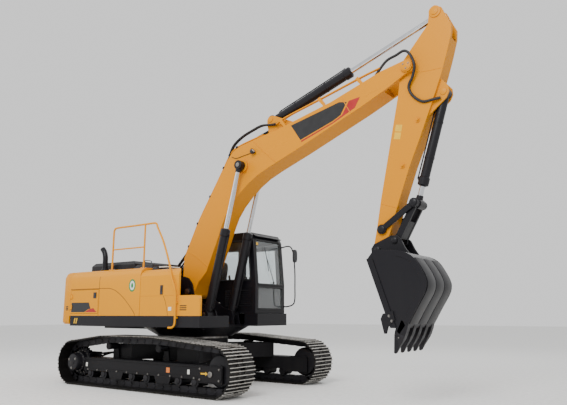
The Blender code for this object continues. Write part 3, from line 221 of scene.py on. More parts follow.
def rolledSteel(name, colour, rust, rough=0.45, metallic=0.85, wornAndHighlightColour=None):
    # hot-rolled steel, painted bright where the vertex attribute is high: worn bare steel there, and also a painted
    # highlight
    material, tree, shader = startFinish(name, Metallic=metallic)
    place = addNode(tree, "ShaderNodeTexCoord")
    cloud = noiseAt(tree, place, 9.0, 6.0, 0.65)
    body = blendOf(tree, (cloud, "Fac"), 0.35, 0.72, linear(colour), linear(rust))
    if wornAndHighlightColour:
        # bright grouser tips: part real wear to bare metal, part painted highlight
        wear = addNode(tree, "ShaderNodeAttribute", {"attribute_name": "wear"})
        scuffs = noiseAt(tree, place, 30.0, 4.0)
        rubbedAndHighlight = addNode(tree, "ShaderNodeMath", {"operation": "MULTIPLY"}, {0: (wear, "Fac"), 1: (scuffs, "Fac")})
        share = rangeOf(tree, (rubbedAndHighlight, 0), 0.20, 0.42, 0.0, 1.0)
        body = addNode(tree, "ShaderNodeMix", {"data_type": "RGBA", 7: (*linear(wornAndHighlightColour), 1)},
                       {0: (share, "Result"), 6: (body, "Color")})
        tree.links.new(body.outputs[2], shader.inputs["Base Color"])
    else:
        tree.links.new(body.outputs["Color"], shader.inputs["Base Color"])
    dull = rangeOf(tree, (cloud, "Fac"), 0.3, 0.7, rough - 0.08, rough + 0.2)
    tree.links.new(dull.outputs["Result"], shader.inputs["Roughness"])
    grain = noiseAt(tree, place, 120.0, 4.0)
    bump = addNode(tree, "ShaderNodeBump", {"Strength": 0.25, "Distance": 0.002}, {"Height": (grain, "Fac")})
    tree.links.new(bump.outputs["Normal"], shader.inputs["Normal"])
    return material


def plain(name, colour, rough, metallic=0.0, grainScale=400.0, bumpStrength=0.1, **sockets):
    # moulded or drawn stock: one colour with a fine surface grain and slightly uneven gloss
    material, tree, shader = startFinish(name, Metallic=metallic, **sockets)
    place = addNode(tree, "ShaderNodeTexCoord")
    cloud = noiseAt(tree, place, 12.0, 4.0)
    shade = blendOf(tree, (cloud, "Fac"), 0.3, 0.7, [c * 0.86 for c in linear(colour)], linear(colour))
    tree.links.new(shade.outputs["Color"], shader.inputs["Base Color"])
    dull = rangeOf(tree, (cloud, "Fac"), 0.3, 0.7, rough * 0.85, min(rough * 1.15, 1.0))
    tree.links.new(dull.outputs["Result"], shader.inputs["Roughness"])
    grain = noiseAt(tree, place, grainScale, 2.0)
    bump = addNode(tree, "ShaderNodeBump", {"Strength": bumpStrength, "Distance": 0.001},
                   {"Height": (grain, "Fac")})
    tree.links.new(bump.outputs["Normal"], shader.inputs["Normal"])
    return material


def wovenCloth(name, colour, thread):
    # upholstery cloth, plain weave; threads drawn 3 mm apart so that they show
    material, tree, shader = startFinish(name, Sheen_Weight=0.4, Roughness=0.9)
    place = addNode(tree, "ShaderNodeTexCoord")
    warp = addNode(tree, "ShaderNodeTexWave", {"Scale": 52.0, "bands_direction": "Y"},
                   {"Vector": (place, "Object")})
    weft = addNode(tree, "ShaderNodeTexWave", {"Scale": 52.0, "bands_direction": "X"},
                   {"Vector": (place, "Object")})
    weave = addNode(tree, "ShaderNodeMath", {"operation": "MAXIMUM"}, {0: (warp, "Fac"), 1: (weft, "Fac")})
    shade = blendOf(tree, (weave, 0), 0.2, 0.9, linear(colour), linear(thread))
    tree.links.new(shade.outputs["Color"], shader.inputs["Base Color"])
    bump = addNode(tree, "ShaderNodeBump", {"Strength": 0.3, "Distance": 0.001}, {"Height": (weave, 0)})
    tree.links.new(bump.outputs["Normal"], shader.inputs["Normal"])
    return material


def safetyGlass(name, tint):
    # tempered float glass: clear, faintly green-grey, mirror-smooth
    material, tree, shader = startFinish(name, IOR=1.52, Transmission_Weight=0.95, Roughness=0.02,
                                         Base_Color=(*linear(tint), 1))
    place = addNode(tree, "ShaderNodeTexCoord")
    wave = noiseAt(tree, place, 3.0, 1.0)
    bump = addNode(tree, "ShaderNodeBump", {"Strength": 0.02, "Distance": 0.002}, {"Height": (wave, "Fac")})
    tree.links.new(bump.outputs["Normal"], shader.inputs["Normal"])
    return material


finishes = {
    "yellow": enamel("amberEnamel", "#DE9200", "#C98410", dust=0.3),
    "boomYellow": enamel("amberEnamelPlate", "#D68900", "#BE7A0E", rough=0.4, peel=0.08, dust=0.3),
    "castYellow": enamel("amberEnamelOnCasting", "#DA8E00", "#C07E10", rough=0.42, peel=0.35, dust=0.3),
    "black": enamel("charcoalEnamel", "#0F0E12", "#2A2826", rough=0.42, dust=0.3, coat=0.02, gloss=0.18),
    "satinBlack": enamel("charcoalEnamelOnPlate", "#121116", "#2C2A2A", rough=0.36, dust=0.25, coat=0.05,
                         gloss=0.22),
    "barrel": enamel("charcoalEnamelOnTube", "#19181C", "#33302E", rough=0.33, dust=0.25, coat=0.06, gloss=0.22),
    # the shoes' bright grouser tips are worn steel and partly a painted highlight
    "shoe": rolledSteel("manganeseSteel", "#1F1D1C", "#171412", rough=0.45, metallic=0.6, wornAndHighlightColour="#B9B6B0"),
    "steel": rolledSteel("machinedSteel", "#8D8B88", "#6A6460", rough=0.35, metallic=0.95),
    "tooth": rolledSteel("castAlloySteel", "#26252A", "#1D1B1C", rough=0.45, metallic=0.5),
    "chrome": plain("hardChrome", "#DADCE0", 0.12, 1.0, 500.0, 0.02),
    "rubber": plain("nitrileRubber", "#1B1B1D", 0.62, 0.0, 300.0, 0.2),
    "plastic": plain("mouldedPolypropylene", "#26262A", 0.55, 0.0, 500.0, 0.3),
    "trim": plain("mouldedTrimPlastic", "#8C8F92", 0.6, 0.0, 500.0, 0.3),
    "zinc": plain("yellowPassivatedZinc", "#D8A43A", 0.35, 0.7, 200.0, 0.1),
    "galvanised": plain("galvanisedSteel", "#B9BCBE", 0.4, 0.8, 60.0, 0.15),
    "whiteLabel": plain("whiteVinyl", "#E4E3DC", 0.4, 0.0, 300.0, 0.03),
    # black vinyl for decals and marks; on the storage box vent the same black is painted shade
    "blackLabel": plain("blackVinyl", "#1A1A1C", 0.35, 0.0, 300.0, 0.03),
    "seamDark": plain("shadowedPanelGap", "#8A5200", 0.7, 0.0, 300.0, 0.03),
    "yellowLabel": plain("yellowVinyl", "#E8B400", 0.4, 0.0, 300.0, 0.03),
    "redLabel": plain("redVinyl", "#A80A0A", 0.38, 0.0, 300.0, 0.03),
    "greenLabel": plain("greenVinyl", "#17803C", 0.38, 0.0, 300.0, 0.03),
    "orangeLabel": plain("orangeVinyl", "#D9772B", 0.4, 0.0, 300.0, 0.03),
    "lens": plain("clearAcrylicLens", "#EFF1EE", 0.12, 0.0, 80.0, 0.4, Transmission_Weight=0.5),
    "redLens": plain("redAcrylicLens", "#A8201C", 0.15, 0.0, 80.0, 0.4),
    "mirror": plain("silveredGlass", "#E8EAEC", 0.03, 1.0, 5.0, 0.0),
    "glass": safetyGlass("temperedGlass", "#F4FAFB"),
    "cloth": wovenCloth("upholsteryCloth", "#2A2B30", "#45474E"),
}


# surfaces
def gridFaces(rows, columns, closeRows=False, closeColumns=False):
    # quads between neighbouring rows and columns of a grid of points
    row = np.arange(rows if closeRows else rows - 1)
    column = np.arange(columns if closeColumns else columns - 1)
    r, c = np.meshgrid(row, column, indexing="ij")
    r2, c2 = (r + 1) % rows, (c + 1) % columns
    return np.stack([r * columns + c, r * columns + c2, r2 * columns + c2, r2 * columns + c], -1).reshape(-1,
            4).tolist()


def unit(v):
    return v / np.linalg.norm(v, axis=-1, keepdims=True)


def spline(points, steps=8):
    # Catmull-Rom curve through the points, steps samples per span
    p = np.asarray(points, float)
    p = np.vstack([2 * p[0] - p[1], p, 2 * p[-1] - p[-2]])
    t = np.linspace(0, 1, steps, endpoint=False)[None, :, None]
    a, b, c, d = (p[i:len(p) - 3 + i, None, :] for i in range(4))
    curve = 0.5 * (2 * b + (c - a) * t + (2 * a - 5 * b + 4 * c - d) * t ** 2 + (3 * b - a - 3 * c + d) * t ** 3)
    return np.vstack([curve.reshape(-1, p.shape[1]), p[-2]])


def circle(radius, sides):
    angle = np.linspace(0, 2 * np.pi, sides, endpoint=False)
    return np.stack([radius * np.cos(angle), radius * np.sin(angle)], -1)


def sweep(path, section, closed=False, scale=None):
    # the section carried along the path, square to it: point + side * s + up * t
    path = np.asarray(path, float)
    tangent = unit(np.roll(path, -1, 0) - np.roll(path, 1, 0)) if closed else unit(np.gradient(path, axis=0))
    flat = np.linalg.svd(path - path.mean(0), full_matrices=True)[2][-1]
    side = unit(np.cross(np.broadcast_to(flat, path.shape), tangent))
    up = np.cross(tangent, side)
    size = np.ones(len(path)) if scale is None else np.asarray(scale, float)
    s, t = section[None, :, 0:1] * size[:, None, None], section[None, :, 1:2] * size[:, None, None]
    points = path[:, None] + side[:, None] * s + up[:, None] * t
    faces = gridFaces(len(path), len(section), closed, True)
    if not closed:
        count = len(section)
        faces += [list(range(count))[::-1], list(range((len(path) - 1) * count, len(path) * count))]
    return points.reshape(-1, 3), faces


def tube(points, radius, sides=12, steps=8, smooth=True):
    return sweep(spline(points, steps) if smooth else points, circle(radius, sides))


def lathe(origin, axis, profile, sides=40):
    # rings of the profile's radii about an axis; profile rows are (distance along the axis, radius)
    axis = unit(np.asarray(axis, float))
    seed = xAxis if abs(axis[0]) < 0.9 else zAxis
    first = unit(np.cross(axis, seed))
    second = np.cross(axis, first)
    profile = np.asarray(profile, float)
    ring = circle(1.0, sides)
    spoke = ring[:, 0:1] * first + ring[:, 1:2] * second
    points = np.asarray(origin) + profile[:, None, 0:1] * axis + profile[:, None, 1:2] * spoke[None]
    faces = gridFaces(len(profile), sides, False, True)
    faces += [list(range(sides))[::-1], list(range((len(profile) - 1) * sides, len(profile) * sides))]
    return points.reshape(-1, 3), faces


def prism(outline, place, low, high):
    # an outline drawn in a member's plane, given depth along y; place maps (u, w, y) to a point
    ends = [np.array([place(u, w, y) for u, w in outline]) for y in (low, high)]
    count = len(outline)
    faces = gridFaces(2, count, False, True) + [list(range(count))[::-1], list(range(count, 2 * count))]
    return np.vstack(ends), faces


def sideView(u, w, y=0.0):
    return at(u, y, w)


def box(low, high):
    low, high = np.asarray(low, float), np.asarray(high, float)
    corner = np.array([[i, j, k] for i in (0, 1) for j in (0, 1) for k in (0, 1)])
    faces = [[0, 1, 3, 2], [4, 6, 7, 5], [0, 4, 5, 1], [2, 3, 7, 6], [0, 2, 6, 4], [1, 5, 7, 3]]
    return low + corner * (high - low), faces


def boxAt(x0, x1, y0, y1, z0, z1):
    return box(at(x0, y0, z0), at(x1, y1, z1))


def hexBolt(place, axis, across=0.024, height=0.014):
    radius = across / 2
    return lathe(np.asarray(place), axis, [(-0.004, radius * 1.5), (0.003, radius * 1.5), (0.0031, radius * 1.12),
                                           (height * 0.8, radius * 1.12), (height, radius * 0.95)], 6)


def joined(shapes):
    points, faces, start = [], [], 0
    for shapePoints, shapeFaces in shapes:
        points.append(shapePoints)
        faces += [[v + start for v in face] for face in shapeFaces]
        start += len(shapePoints)
    return np.vstack(points), faces


def make(name, shapes, finish, body, bevel=0.0, smoothAngle=38, segments=2, replaces=()):
    points, faces = joined(shapes if isinstance(shapes, list) else [shapes])
    mesh = bpy.data.meshes.new(name)
    mesh.from_pydata(points.tolist(), [], faces)
    work = bmesh.new()
    work.from_mesh(mesh)
    bmesh.ops.recalc_face_normals(work, faces=work.faces)
    work.to_mesh(mesh)
    work.free()
    return finishPiece(name, mesh, finish, body, bevel, smoothAngle, segments, replaces)


def finishPiece(name, mesh, finish, body, bevel=0.0, smoothAngle=38, segments=2, replaces=()):
    mesh.materials.clear()
    mesh.materials.append(finishes[finish])
    mesh.shade_smooth()
    mesh.set_sharp_from_angle(angle=math.radians(smoothAngle))
    piece = bpy.data.objects.new(name, mesh)
    bpy.context.scene.collection.objects.link(piece)
    if bevel:
        edge = piece.modifiers.new("edges", "BEVEL")
        edge.width = bevel
        edge.segments = segments
        edge.limit_method = "ANGLE"
        edge.angle_limit = math.radians(32)
        edge.use_clamp_overlap = True
        edge.harden_normals = True
    if body:
        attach(piece, body)
    if replaces:
        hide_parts(*replaces)
    return piece


def softened(node, finish, bevel=0.004, smoothAngle=30, segments=2, clamp=True):
    # a node's own shape with its coplanar triangles merged and its edges broken
    source = nodes[node]
    body = source["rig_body"]
    mesh = source.data.copy()
    work = bmesh.new()
    work.from_mesh(mesh)
    bmesh.ops.remove_doubles(work, verts=work.verts, dist=0.00005)
    bmesh.ops.dissolve_limit(work, angle_limit=math.radians(1.0), verts=work.verts, edges=work.edges)
    work.to_mesh(mesh)
    work.free()
    piece = finishPiece(node + "_shell", mesh, finish, body, bevel, smoothAngle, segments, (node,))
    if bevel:
        piece.modifiers["edges"].use_clamp_overlap = clamp
    return piece


# undercarriage
track = {
    "gauge": 2.38,
    "shoeWidth": 0.60,
    "shoes": 49,
    "endX": 1.74,
    "endRadius": 0.40,
    "carriers": ((-0.95, 0.704), (0.35, 0.704)),
    "carrierReach": 0.196,
    "grouser": 0.024,
    "plate": 0.012,
    "bolt": 0.030,
}


def beltStations(count):
    # even stations along the belt's outer line, with its outward normal and its direction
    circles = [(-track["endX"], track["endRadius"], track["endRadius"])]
    circles += [(x, z, track["carrierReach"]) for x, z in track["carriers"]]
    circles += [(track["endX"], track["endRadius"], track["endRadius"])]
    centre = np.array([c[:2] for c in circles])
    radius = np.array([c[2] for c in circles])
    ahead = np.roll(centre, -1, 0) - centre
    gap = np.hypot(*ahead.T)
    lean = np.arctan2(ahead[:, 1], ahead[:, 0]) + np.arccos((radius - np.roll(radius, -1)) / gap)
    pieces = []
    for i in range(len(circles)):
        start, end = lean[i - 1], lean[i]
        end = end - 2 * np.pi * np.ceil((end - start) / (2 * np.pi))
        angle = np.linspace(start, end, 40)
        pieces.append(centre[i] + radius[i] * np.stack([np.cos(angle), np.sin(angle)], -1))
    line = np.vstack(pieces + [pieces[0][:1]])
    run = np.concatenate([[0], np.cumsum(np.hypot(*np.diff(line, axis=0).T))])
    where = np.linspace(0, run[-1], count, endpoint=False)
    point = np.stack([np.interp(where, run, line[:, k]) for k in (0, 1)], -1)
    step = 0.03
    before = np.stack([np.interp((where - step) % run[-1], run, line[:, k]) for k in (0, 1)], -1)
    after = np.stack([np.interp((where + step) % run[-1], run, line[:, k]) for k in (0, 1)], -1)
    direction = unit(after - before)
    normal = np.stack([-direction[:, 1], direction[:, 0]], -1)
    return point, normal, direction, run[-1] / count


def alongBelt(shape, side, stations):
    # shape points are (along, across, out): each copy takes its station's direction and normal
    points, faces = shape
    point, normal, direction = stations
    u, v, w = points[:, 0], points[:, 1], points[:, 2]
    flat = point[:, None] + direction[:, None] * u[None, :, None] + normal[:, None] * w[None, :, None]
    placed = np.stack([flat[..., 0] + swingX, np.broadcast_to(v, flat.shape[:2]) + side * track["gauge"] / 2,
                       flat[..., 1]], -1)
    step = len(points)
    return placed.reshape(-1, 3), [[q + i * step for q in face] for i in range(len(point)) for face in faces]


def shoeShape(pitch):
    half, plate, grouser = track["shoeWidth"] / 2, track["plate"], track["grouser"]
    low = -grouser - plate
    top = -0.002             # a hair inside the belt's outer line, so the bars stop at the ground
    edge = pitch / 2 + 0.004

    def bar(u, wide=0.008):
        return [(u + wide * 1.5, low + plate), (u + wide * 0.75, top), (u - wide * 0.75, top),
                (u - wide * 1.5, low + plate)]
    outline = [(-edge, low + 0.002), (edge - 0.014, low), (edge, low + 0.005), (edge, low + plate)]
    outline += bar(pitch * 0.35) + bar(0.0) + bar(-pitch * 0.35) + [(-edge, low + plate)]
    window = [(u * (0.80 if abs(u) > pitch * 0.4 else 1.0), w) for u, w in outline]
    shapes = []
    for near, far, shape in ((-half, -0.055, outline), (-0.055, 0.055, window), (0.055, half, outline)):
        count = len(shape)
        points = np.array([(u, v, w) for v in (near, far) for u, w in shape])
        shapes.append((points, gridFaces(2, count, False, True) + [list(range(count))[::-1],
                list(range(count, 2 * count))]))
    for u in (-pitch * 0.175, pitch * 0.175):
        for v in (-0.105, -0.065, 0.065, 0.105):
            if abs(v) < 0.09 or u > 0:
                shapes.append(lathe((u, v, low + plate - 0.001), zAxis,
                                    [(0, 0.017), (0.010, 0.017), (0.013, 0.014)], 6))
    return joined(shapes)


def linkShape(pitch):
    low, high = -0.136, -0.036
    outline = [(-0.60 * pitch, -0.075), (-0.52 * pitch, low + 0.006), (-0.25 * pitch, low), (0.30 * pitch, low),
               (0.52 * pitch, low + 0.012),
               (0.60 * pitch, -0.080), (0.50 * pitch, high - 0.006), (0.2 * pitch, high), (-0.2 * pitch, high),
               (-0.48 * pitch, high - 0.004)]
    shapes = []
    for v in (-0.075, 0.050):
        count = len(outline)
        points = np.array([(u, v + w, t) for w in (0.0, 0.025) for u, t in outline])
        shapes.append((points, gridFaces(2, count, False, True) + [list(range(count))[::-1],
                list(range(count, 2 * count))]))
    shapes.append(lathe((0.5 * pitch, -0.084, -0.082), yAxis,
                        [(0, 0.018), (0.004, 0.022), (0.164, 0.022), (0.168, 0.018)], 12))
    shapes.append(lathe((0.5 * pitch, -0.050, -0.082), yAxis, [(0, 0.030), (0.10, 0.030)], 14))
    return joined(shapes)


def makeTracks():
    point, normal, direction, pitch = beltStations(track["shoes"])
    for name, side in (("right", -1), ("left", 1)):
        shoes = alongBelt(shoeShape(pitch), side, (point, normal, direction))
        piece = make(f"track_shoes_{name}", shoes, "shoe", "undercarriage", smoothAngle=25,
                     replaces=(f"track_{name}",))
        one = shoeShape(pitch)[0][:, 2]
        # 1 at the grouser tips, 0 below: where the bright colour goes, worn steel and a painted highlight
        wear = np.tile(np.clip(1 + one / 0.020, 0, 1), len(point))
        attribute = piece.data.attributes.new("wear", "FLOAT", "POINT")
        attribute.data.foreach_set("value", wear.astype(np.float32))
        chain = alongBelt(linkShape(pitch), side, (point, normal, direction))
        make(f"track_chain_{name}", chain, "tooth", "undercarriage", smoothAngle=25)
    print("tracks laid:", track["shoes"], "shoes a side, pitch", round(pitch, 4))


def makeDrives():
    for name, side in (("right", -1), ("left", 1)):
        out = side * yAxis
        centre = at(-track["endX"], side * 1.19, track["endRadius"])
        teeth = 21
        angle = np.linspace(0, 2 * np.pi, teeth * 8, endpoint=False)
        # radius follows a rounded tooth: a clipped cosine of the tooth count
        radius = 0.246 + 0.016 * np.clip(np.cos(teeth * angle) * 1.6, -1, 1)
        rim = [(centre[0] + r * math.cos(a), centre[2] + r * math.sin(a)) for r, a in zip(radius, angle)]
        shapes = [prism(rim, lambda u, w, y: np.array([u, y, w]), centre[1] - 0.04, centre[1] + 0.04)]
        shapes.append(lathe(centre - out * 0.108, out, [(0, 0.155), (0.05, 0.175), (0.07, 0.215), (0.15, 0.215),
                                                        (0.155, 0.19), (0.16, 0.185),
                                                      (0.235, 0.185), (0.245, 0.178), (0.25, 0.165), (0.262, 0.160),
                                                      (0.29, 0.156), (0.345, 0.150),
                                                      (0.362, 0.140), (0.368, 0.120), (0.372, 0.060),
                                                      (0.380, 0.055), (0.384, 0.045)], 48))
        make(f"final_drive_{name}", shapes, "satinBlack", "undercarriage", 0.002,
             replaces=(f"sprocket_{name}",))
        spokes = [centre + out * 0.047 + 0.200 * np.array([math.cos(a), 0, math.sin(a)])
                  for a in np.linspace(0, 2 * np.pi, 16, endpoint=False)]
        cover = [centre + out * 0.181 + 0.170 * np.array([math.cos(a), 0, math.sin(a)])
                 for a in np.linspace(0, 2 * np.pi, 12, endpoint=False)]
        plugs = [centre + out * 0.262 + 0.105 * np.array([math.cos(a), 0, math.sin(a)]) for a in (0.6, 2.7, 4.6)]
        bolts = [hexBolt(p, out, 0.022, 0.014) for p in spokes] + [hexBolt(p - out * 0.043, out, 0.018, 0.010)
                for p in cover]
        bolts += [hexBolt(p, out, 0.034, 0.012) for p in plugs]
        make(f"drive_bolts_{name}", bolts, "steel", "undercarriage", smoothAngle=20)

        wheel = at(track["endX"], side * 1.19, track["endRadius"])
        profile = [(-0.09, 0.10), (-0.09, 0.225), (-0.085, 0.235), (-0.055, 0.238), (-0.045, 0.258), (0.045, 0.258),
                   (0.055, 0.238),
                   (0.085, 0.235), (0.09, 0.225), (0.09, 0.10)]
        hub = [(-0.108, 0.06), (-0.1, 0.10), (-0.04, 0.105), (-0.03, 0.12), (0.03, 0.12), (0.04, 0.105),
               (0.1, 0.10), (0.108, 0.06)]
        make(f"idler_wheel_{name}", [lathe(wheel, out, profile, 56), lathe(wheel, out, hub, 40)], "satinBlack",
             "undercarriage", 0.0,
             replaces=(f"idler_{name}",))

        softened(f"track_frame_{name}", "black", 0.005, clamp=False)
        face = side * 1.33
        rollers = []
        for x in np.linspace(-1.36, 1.26, 8):
            rollers.append(lathe(at(x, side * 1.305, 0.2115), out,
                                 [(0, 0.078), (0.012, 0.078), (0.016, 0.050), (0.030, 0.046), (0.034, 0.030)], 28))
        for x, z in track["carriers"]:
            rollers.append(lathe(at(x, side * 1.08, z), out,
                                 [(0, 0.05), (0.02, 0.0585), (0.16, 0.0585), (0.165, 0.066), (0.19, 0.066),
                                  (0.196, 0.04)], 28))
        make(f"track_rollers_{name}", rollers, "tooth", "undercarriage")
        guard = [(-1.50, 0.265), (1.33, 0.265), (1.33, 0.300), (-1.50, 0.300)]
        rib = [(-1.50, 0.452), (1.33, 0.448), (1.33, 0.470), (-1.50, 0.474)]
        plates = [prism(shape, sideView, face - 0.004 * side, face + 0.012 * side) for shape in (guard, rib)]
        for x in (-0.62, 0.56):
            shoe = [(x - 0.20, 0.275), (x - 0.15, 0.150), (x + 0.15, 0.150), (x + 0.20, 0.275)]
            plates.append(prism(shoe, sideView, side * 1.345, side * 1.353))
        cover = [(1.33, 0.235), (1.80, 0.235), (1.83, 0.27), (1.83, 0.44), (1.79, 0.465), (1.33, 0.465)]
        plates.append(prism(cover, sideView, face - 0.002 * side, face + 0.010 * side))
        make(f"frame_plates_{name}", plates, "black", "undercarriage", 0.004)
        marks = [hexBolt(at(x, face + 0.012 * side, 0.282), out, 0.024) for x in np.linspace(-1.40, 1.26, 11)]
        marks += [hexBolt(at(x, face + 0.010 * side, z), out, 0.026) for x in (1.38, 1.78) for z in (0.265, 0.43)]
        marks.append(lathe(at(1.60, face + 0.006 * side, 0.35), out,
                           [(0, 0.045), (0.016, 0.045), (0.020, 0.038), (0.020, 0.022), (0.012, 0.020)], 28))
        make(f"frame_bolts_{name}", marks, "steel", "undercarriage", smoothAngle=20)
        label = [boxAt(-1.49, -1.44, *sorted((face - 0.001 * side, face + 0.0015 * side)), 0.33, 0.40),
                 boxAt(1.10, 1.15, *sorted((face - 0.001 * side, face + 0.0015 * side)), 0.33, 0.40)]
        make(f"frame_labels_{name}", label, "whiteLabel", "undercarriage")
        arrow = [(1.40, 0.345), (1.50, 0.345), (1.50, 0.325), (1.545, 0.357), (1.50, 0.389), (1.50, 0.369),
                 (1.40, 0.369)]
        make(f"frame_arrow_{name}", prism(arrow, sideView, face + 0.009 * side, face + 0.0115 * side),
             "yellowLabel", "undercarriage")
        make(f"frame_plate_label_{name}", boxAt(0.62, 0.70, *sorted((face - 0.001 * side, face + 0.0015 * side)),
                                                0.33, 0.41), "orangeLabel",
             "undercarriage")
    print("drives, rollers and idlers fitted")


def makeCarbody():
    softened("carbody", "black", 0.006)
    ring = lathe(at(0, 0, 0.8405), zAxis, [(0, 0.60), (0, 0.62), (0.030, 0.62), (0.032, 0.605), (0.046, 0.605),
                                           (0.048, 0.62), (0.107, 0.62), (0.109, 0.50), (0.0, 0.50)], 96)
    make("slew_ring", ring, "steel", "undercarriage", 0.0, replaces=("slew_bearing",))
    swivel = [lathe(at(0, 0, 0.44), zAxis, [(0, 0.10), (0.01, 0.13), (0.18, 0.13), (0.19, 0.10)], 32)]
    make("centre_swivel", swivel, "steel", "undercarriage", 0.002)
    hoses = []
    for side in (-1, 1):
        for offset in (-0.05, 0.05):
            hoses.append(tube([at(-0.10, side * 0.10 + offset, 0.52), at(-0.35, side * 0.22 + offset, 0.50),
                               at(-0.85, side * 0.50 + offset, 0.55),
                               at(-1.30, side * 0.78 + offset, 0.56), at(-1.62, side * 0.93, 0.50 + offset * 0.6)],
                               0.019))
    make("travel_hoses", hoses, "rubber", "undercarriage")
    print("carbody dressed")


# upper body
body = {
    "half": 1.345,
    "top": 2.09,
    "tailFront": -2.085,
    "deck": 1.08,
    "skirtTop": 1.243,
    "seam": 0.004,
}


def sideSeam(points, side, width=0.013):
    # a folded panel joint, drawn as a thin dark line standing 0.6 mm off the side
    path = spline([at(x, side * (body["half"] + 0.0002), z) for x, z in points], 6)
    flatSection = np.array([(-width / 2, -0.0008), (width / 2, -0.0008), (width / 2, 0.0008), (-width / 2, 0.0008)])
    return sweep(path, flatSection)


def makeHousing():
    softened("engine_housing", "yellow", 0.004, clamp=False)
    softened("right_rear_door", "yellow", 0.003)
    softened("left_rear_door", "yellow", 0.003)
    softened("left_front_door", "yellow", 0.003)
    weight = softened("counterweight", "castYellow", 0.012, 40, 3, clamp=False)
    weight.data.shade_smooth()
    softened("fuel_tank", "yellow", 0.006)
    softened("storage_box", "yellow", 0.006)
    softened("main_frame", "satinBlack", 0.004, clamp=False)

    seams = [sideSeam([(-1.212, 1.25), (-1.212, 1.735)], -1),
             sideSeam([(-2.08, 1.742), (-1.60, 1.742), (-1.05, 1.742), (-0.88, 1.732), (-0.72, 1.68), (-0.52, 1.56),
                       (-0.34, 1.41), (-0.23, 1.30), (-0.20, 1.25)], -1),
             sideSeam([(-1.212, 1.742), (-1.212, 1.90), (-1.19, 1.965)], -1),
             sideSeam([(-2.08, 1.742), (-1.42, 1.742), (-0.74, 1.742)], 1)]
    make("panel_seams", seams, "seamDark", "upper")

    # latches: a black paddle in a shallow cup
    for name, x, z, side, home in (("rear", -1.33, 1.62, -1, "right_rear_door"),
                                   ("left_rear", -1.50, 1.62, 1, "left_rear_door"),
                                   ("left_front", -1.30, 1.62, 1, "left_front_door")):
        face = side * (body["half"] + 0.001)
        cup = [boxAt(x - 0.045, x + 0.045, *sorted((face - 0.004 * side, face + 0.006 * side)), z - 0.055,
                     z + 0.055),
               boxAt(x - 0.030, x + 0.030, *sorted((face + 0.004 * side, face + 0.014 * side)), z - 0.020,
                     z + 0.042)]
        make(f"latch_{name}", cup, "plastic", home, 0.004)
    face = -body["half"] - 0.001
    tankLatch = [boxAt(0.42, 0.485, face - 0.008, face + 0.003, 1.60, 1.76),
                 boxAt(0.435, 0.470, face - 0.016, face - 0.006, 1.66, 1.74)]
    make("latch_tank", tankLatch, "plastic", "upper", 0.004)

    # plain oval badge and blank decal shapes
    angle = np.linspace(0, 2 * np.pi, 48, endpoint=False)
    for name, a, b, depth, finish in (("rim", 0.088, 0.112, 0.0020, "greenLabel"),
                                      ("face", 0.060, 0.082, 0.0028, "whiteLabel"),
                                      ("mark", 0.030, 0.045, 0.0036, "greenLabel")):
        oval = list(zip(-0.30 + a * np.cos(angle), 1.775 + b * np.sin(angle)))
        make(f"badge_{name}", prism(oval, sideView, face + 0.002, face + 0.002 - depth), finish, "upper")
    decalBody = [(-2.03, 1.31), (-1.62, 1.31), (-1.50, 1.37), (-1.44, 1.37), (-1.50, 1.49), (-2.03, 1.49)]
    decalEdge = [(-1.60, 1.31), (-1.26, 1.31), (-1.36, 1.385), (-1.49, 1.362)]
    make("decal_black_right", prism(decalBody, sideView, face - 0.0006, face + 0.0015), "blackLabel",
         "right_rear_door")
    make("decal_red_right", prism(decalEdge, sideView, face - 0.0006, face + 0.0015), "redLabel", "right_rear_door")

    # vent in the storage box drawn as flat dark strips, painted shade in place of the slot openings; its label, and
    # the skirt's hazard marks
    slots = [boxAt(0.90, 1.05, face - 0.0015, face + 0.002, z, z + 0.016) for z in (1.335, 1.368, 1.401)]
    make("box_vent", slots, "blackLabel", "upper", 0.0006)
    make("box_label", boxAt(0.63, 0.70, face - 0.001, face + 0.002, 1.33, 1.39), "whiteLabel", "upper")
    stripes = [prism([(x, 1.10), (x + 0.03, 1.10), (x + 0.055, 1.20), (x + 0.025, 1.20)], sideView, face + 0.002,
                     face - 0.0006) for x in (-1.93, -1.87)]
    make("hazard_stripes", stripes, "yellowLabel", "upper")
    slant = [[(0.50, 1.575), (0.56, 1.46), (0.62, 1.25)]]
    make("box_seam", [sideSeam(s, -1, 0.010) for s in slant], "seamDark", "upper")
    print("side panels dressed")


def louvres(x0, x1, z0, z1, side, count, face):
    # pressed slats: each leans out at its lower edge
    step = (z1 - z0) / count
    slats = []
    for i in range(count):
        z = z0 + i * step
        cut = [(face - 0.002 * side, z + step * 0.15), (face + 0.010 * side, z + step * 0.15),
               (face + 0.011 * side, z + step * 0.28), (face - 0.001 * side, z + step * 0.75)]
        ends = np.array([[at(x, y, h) for y, h in cut] for x in (x0, x1)]).reshape(-1, 3)
        slats.append((ends, gridFaces(2, 4, False, True) + [[3, 2, 1, 0], [4, 5, 6, 7]]))
    return slats


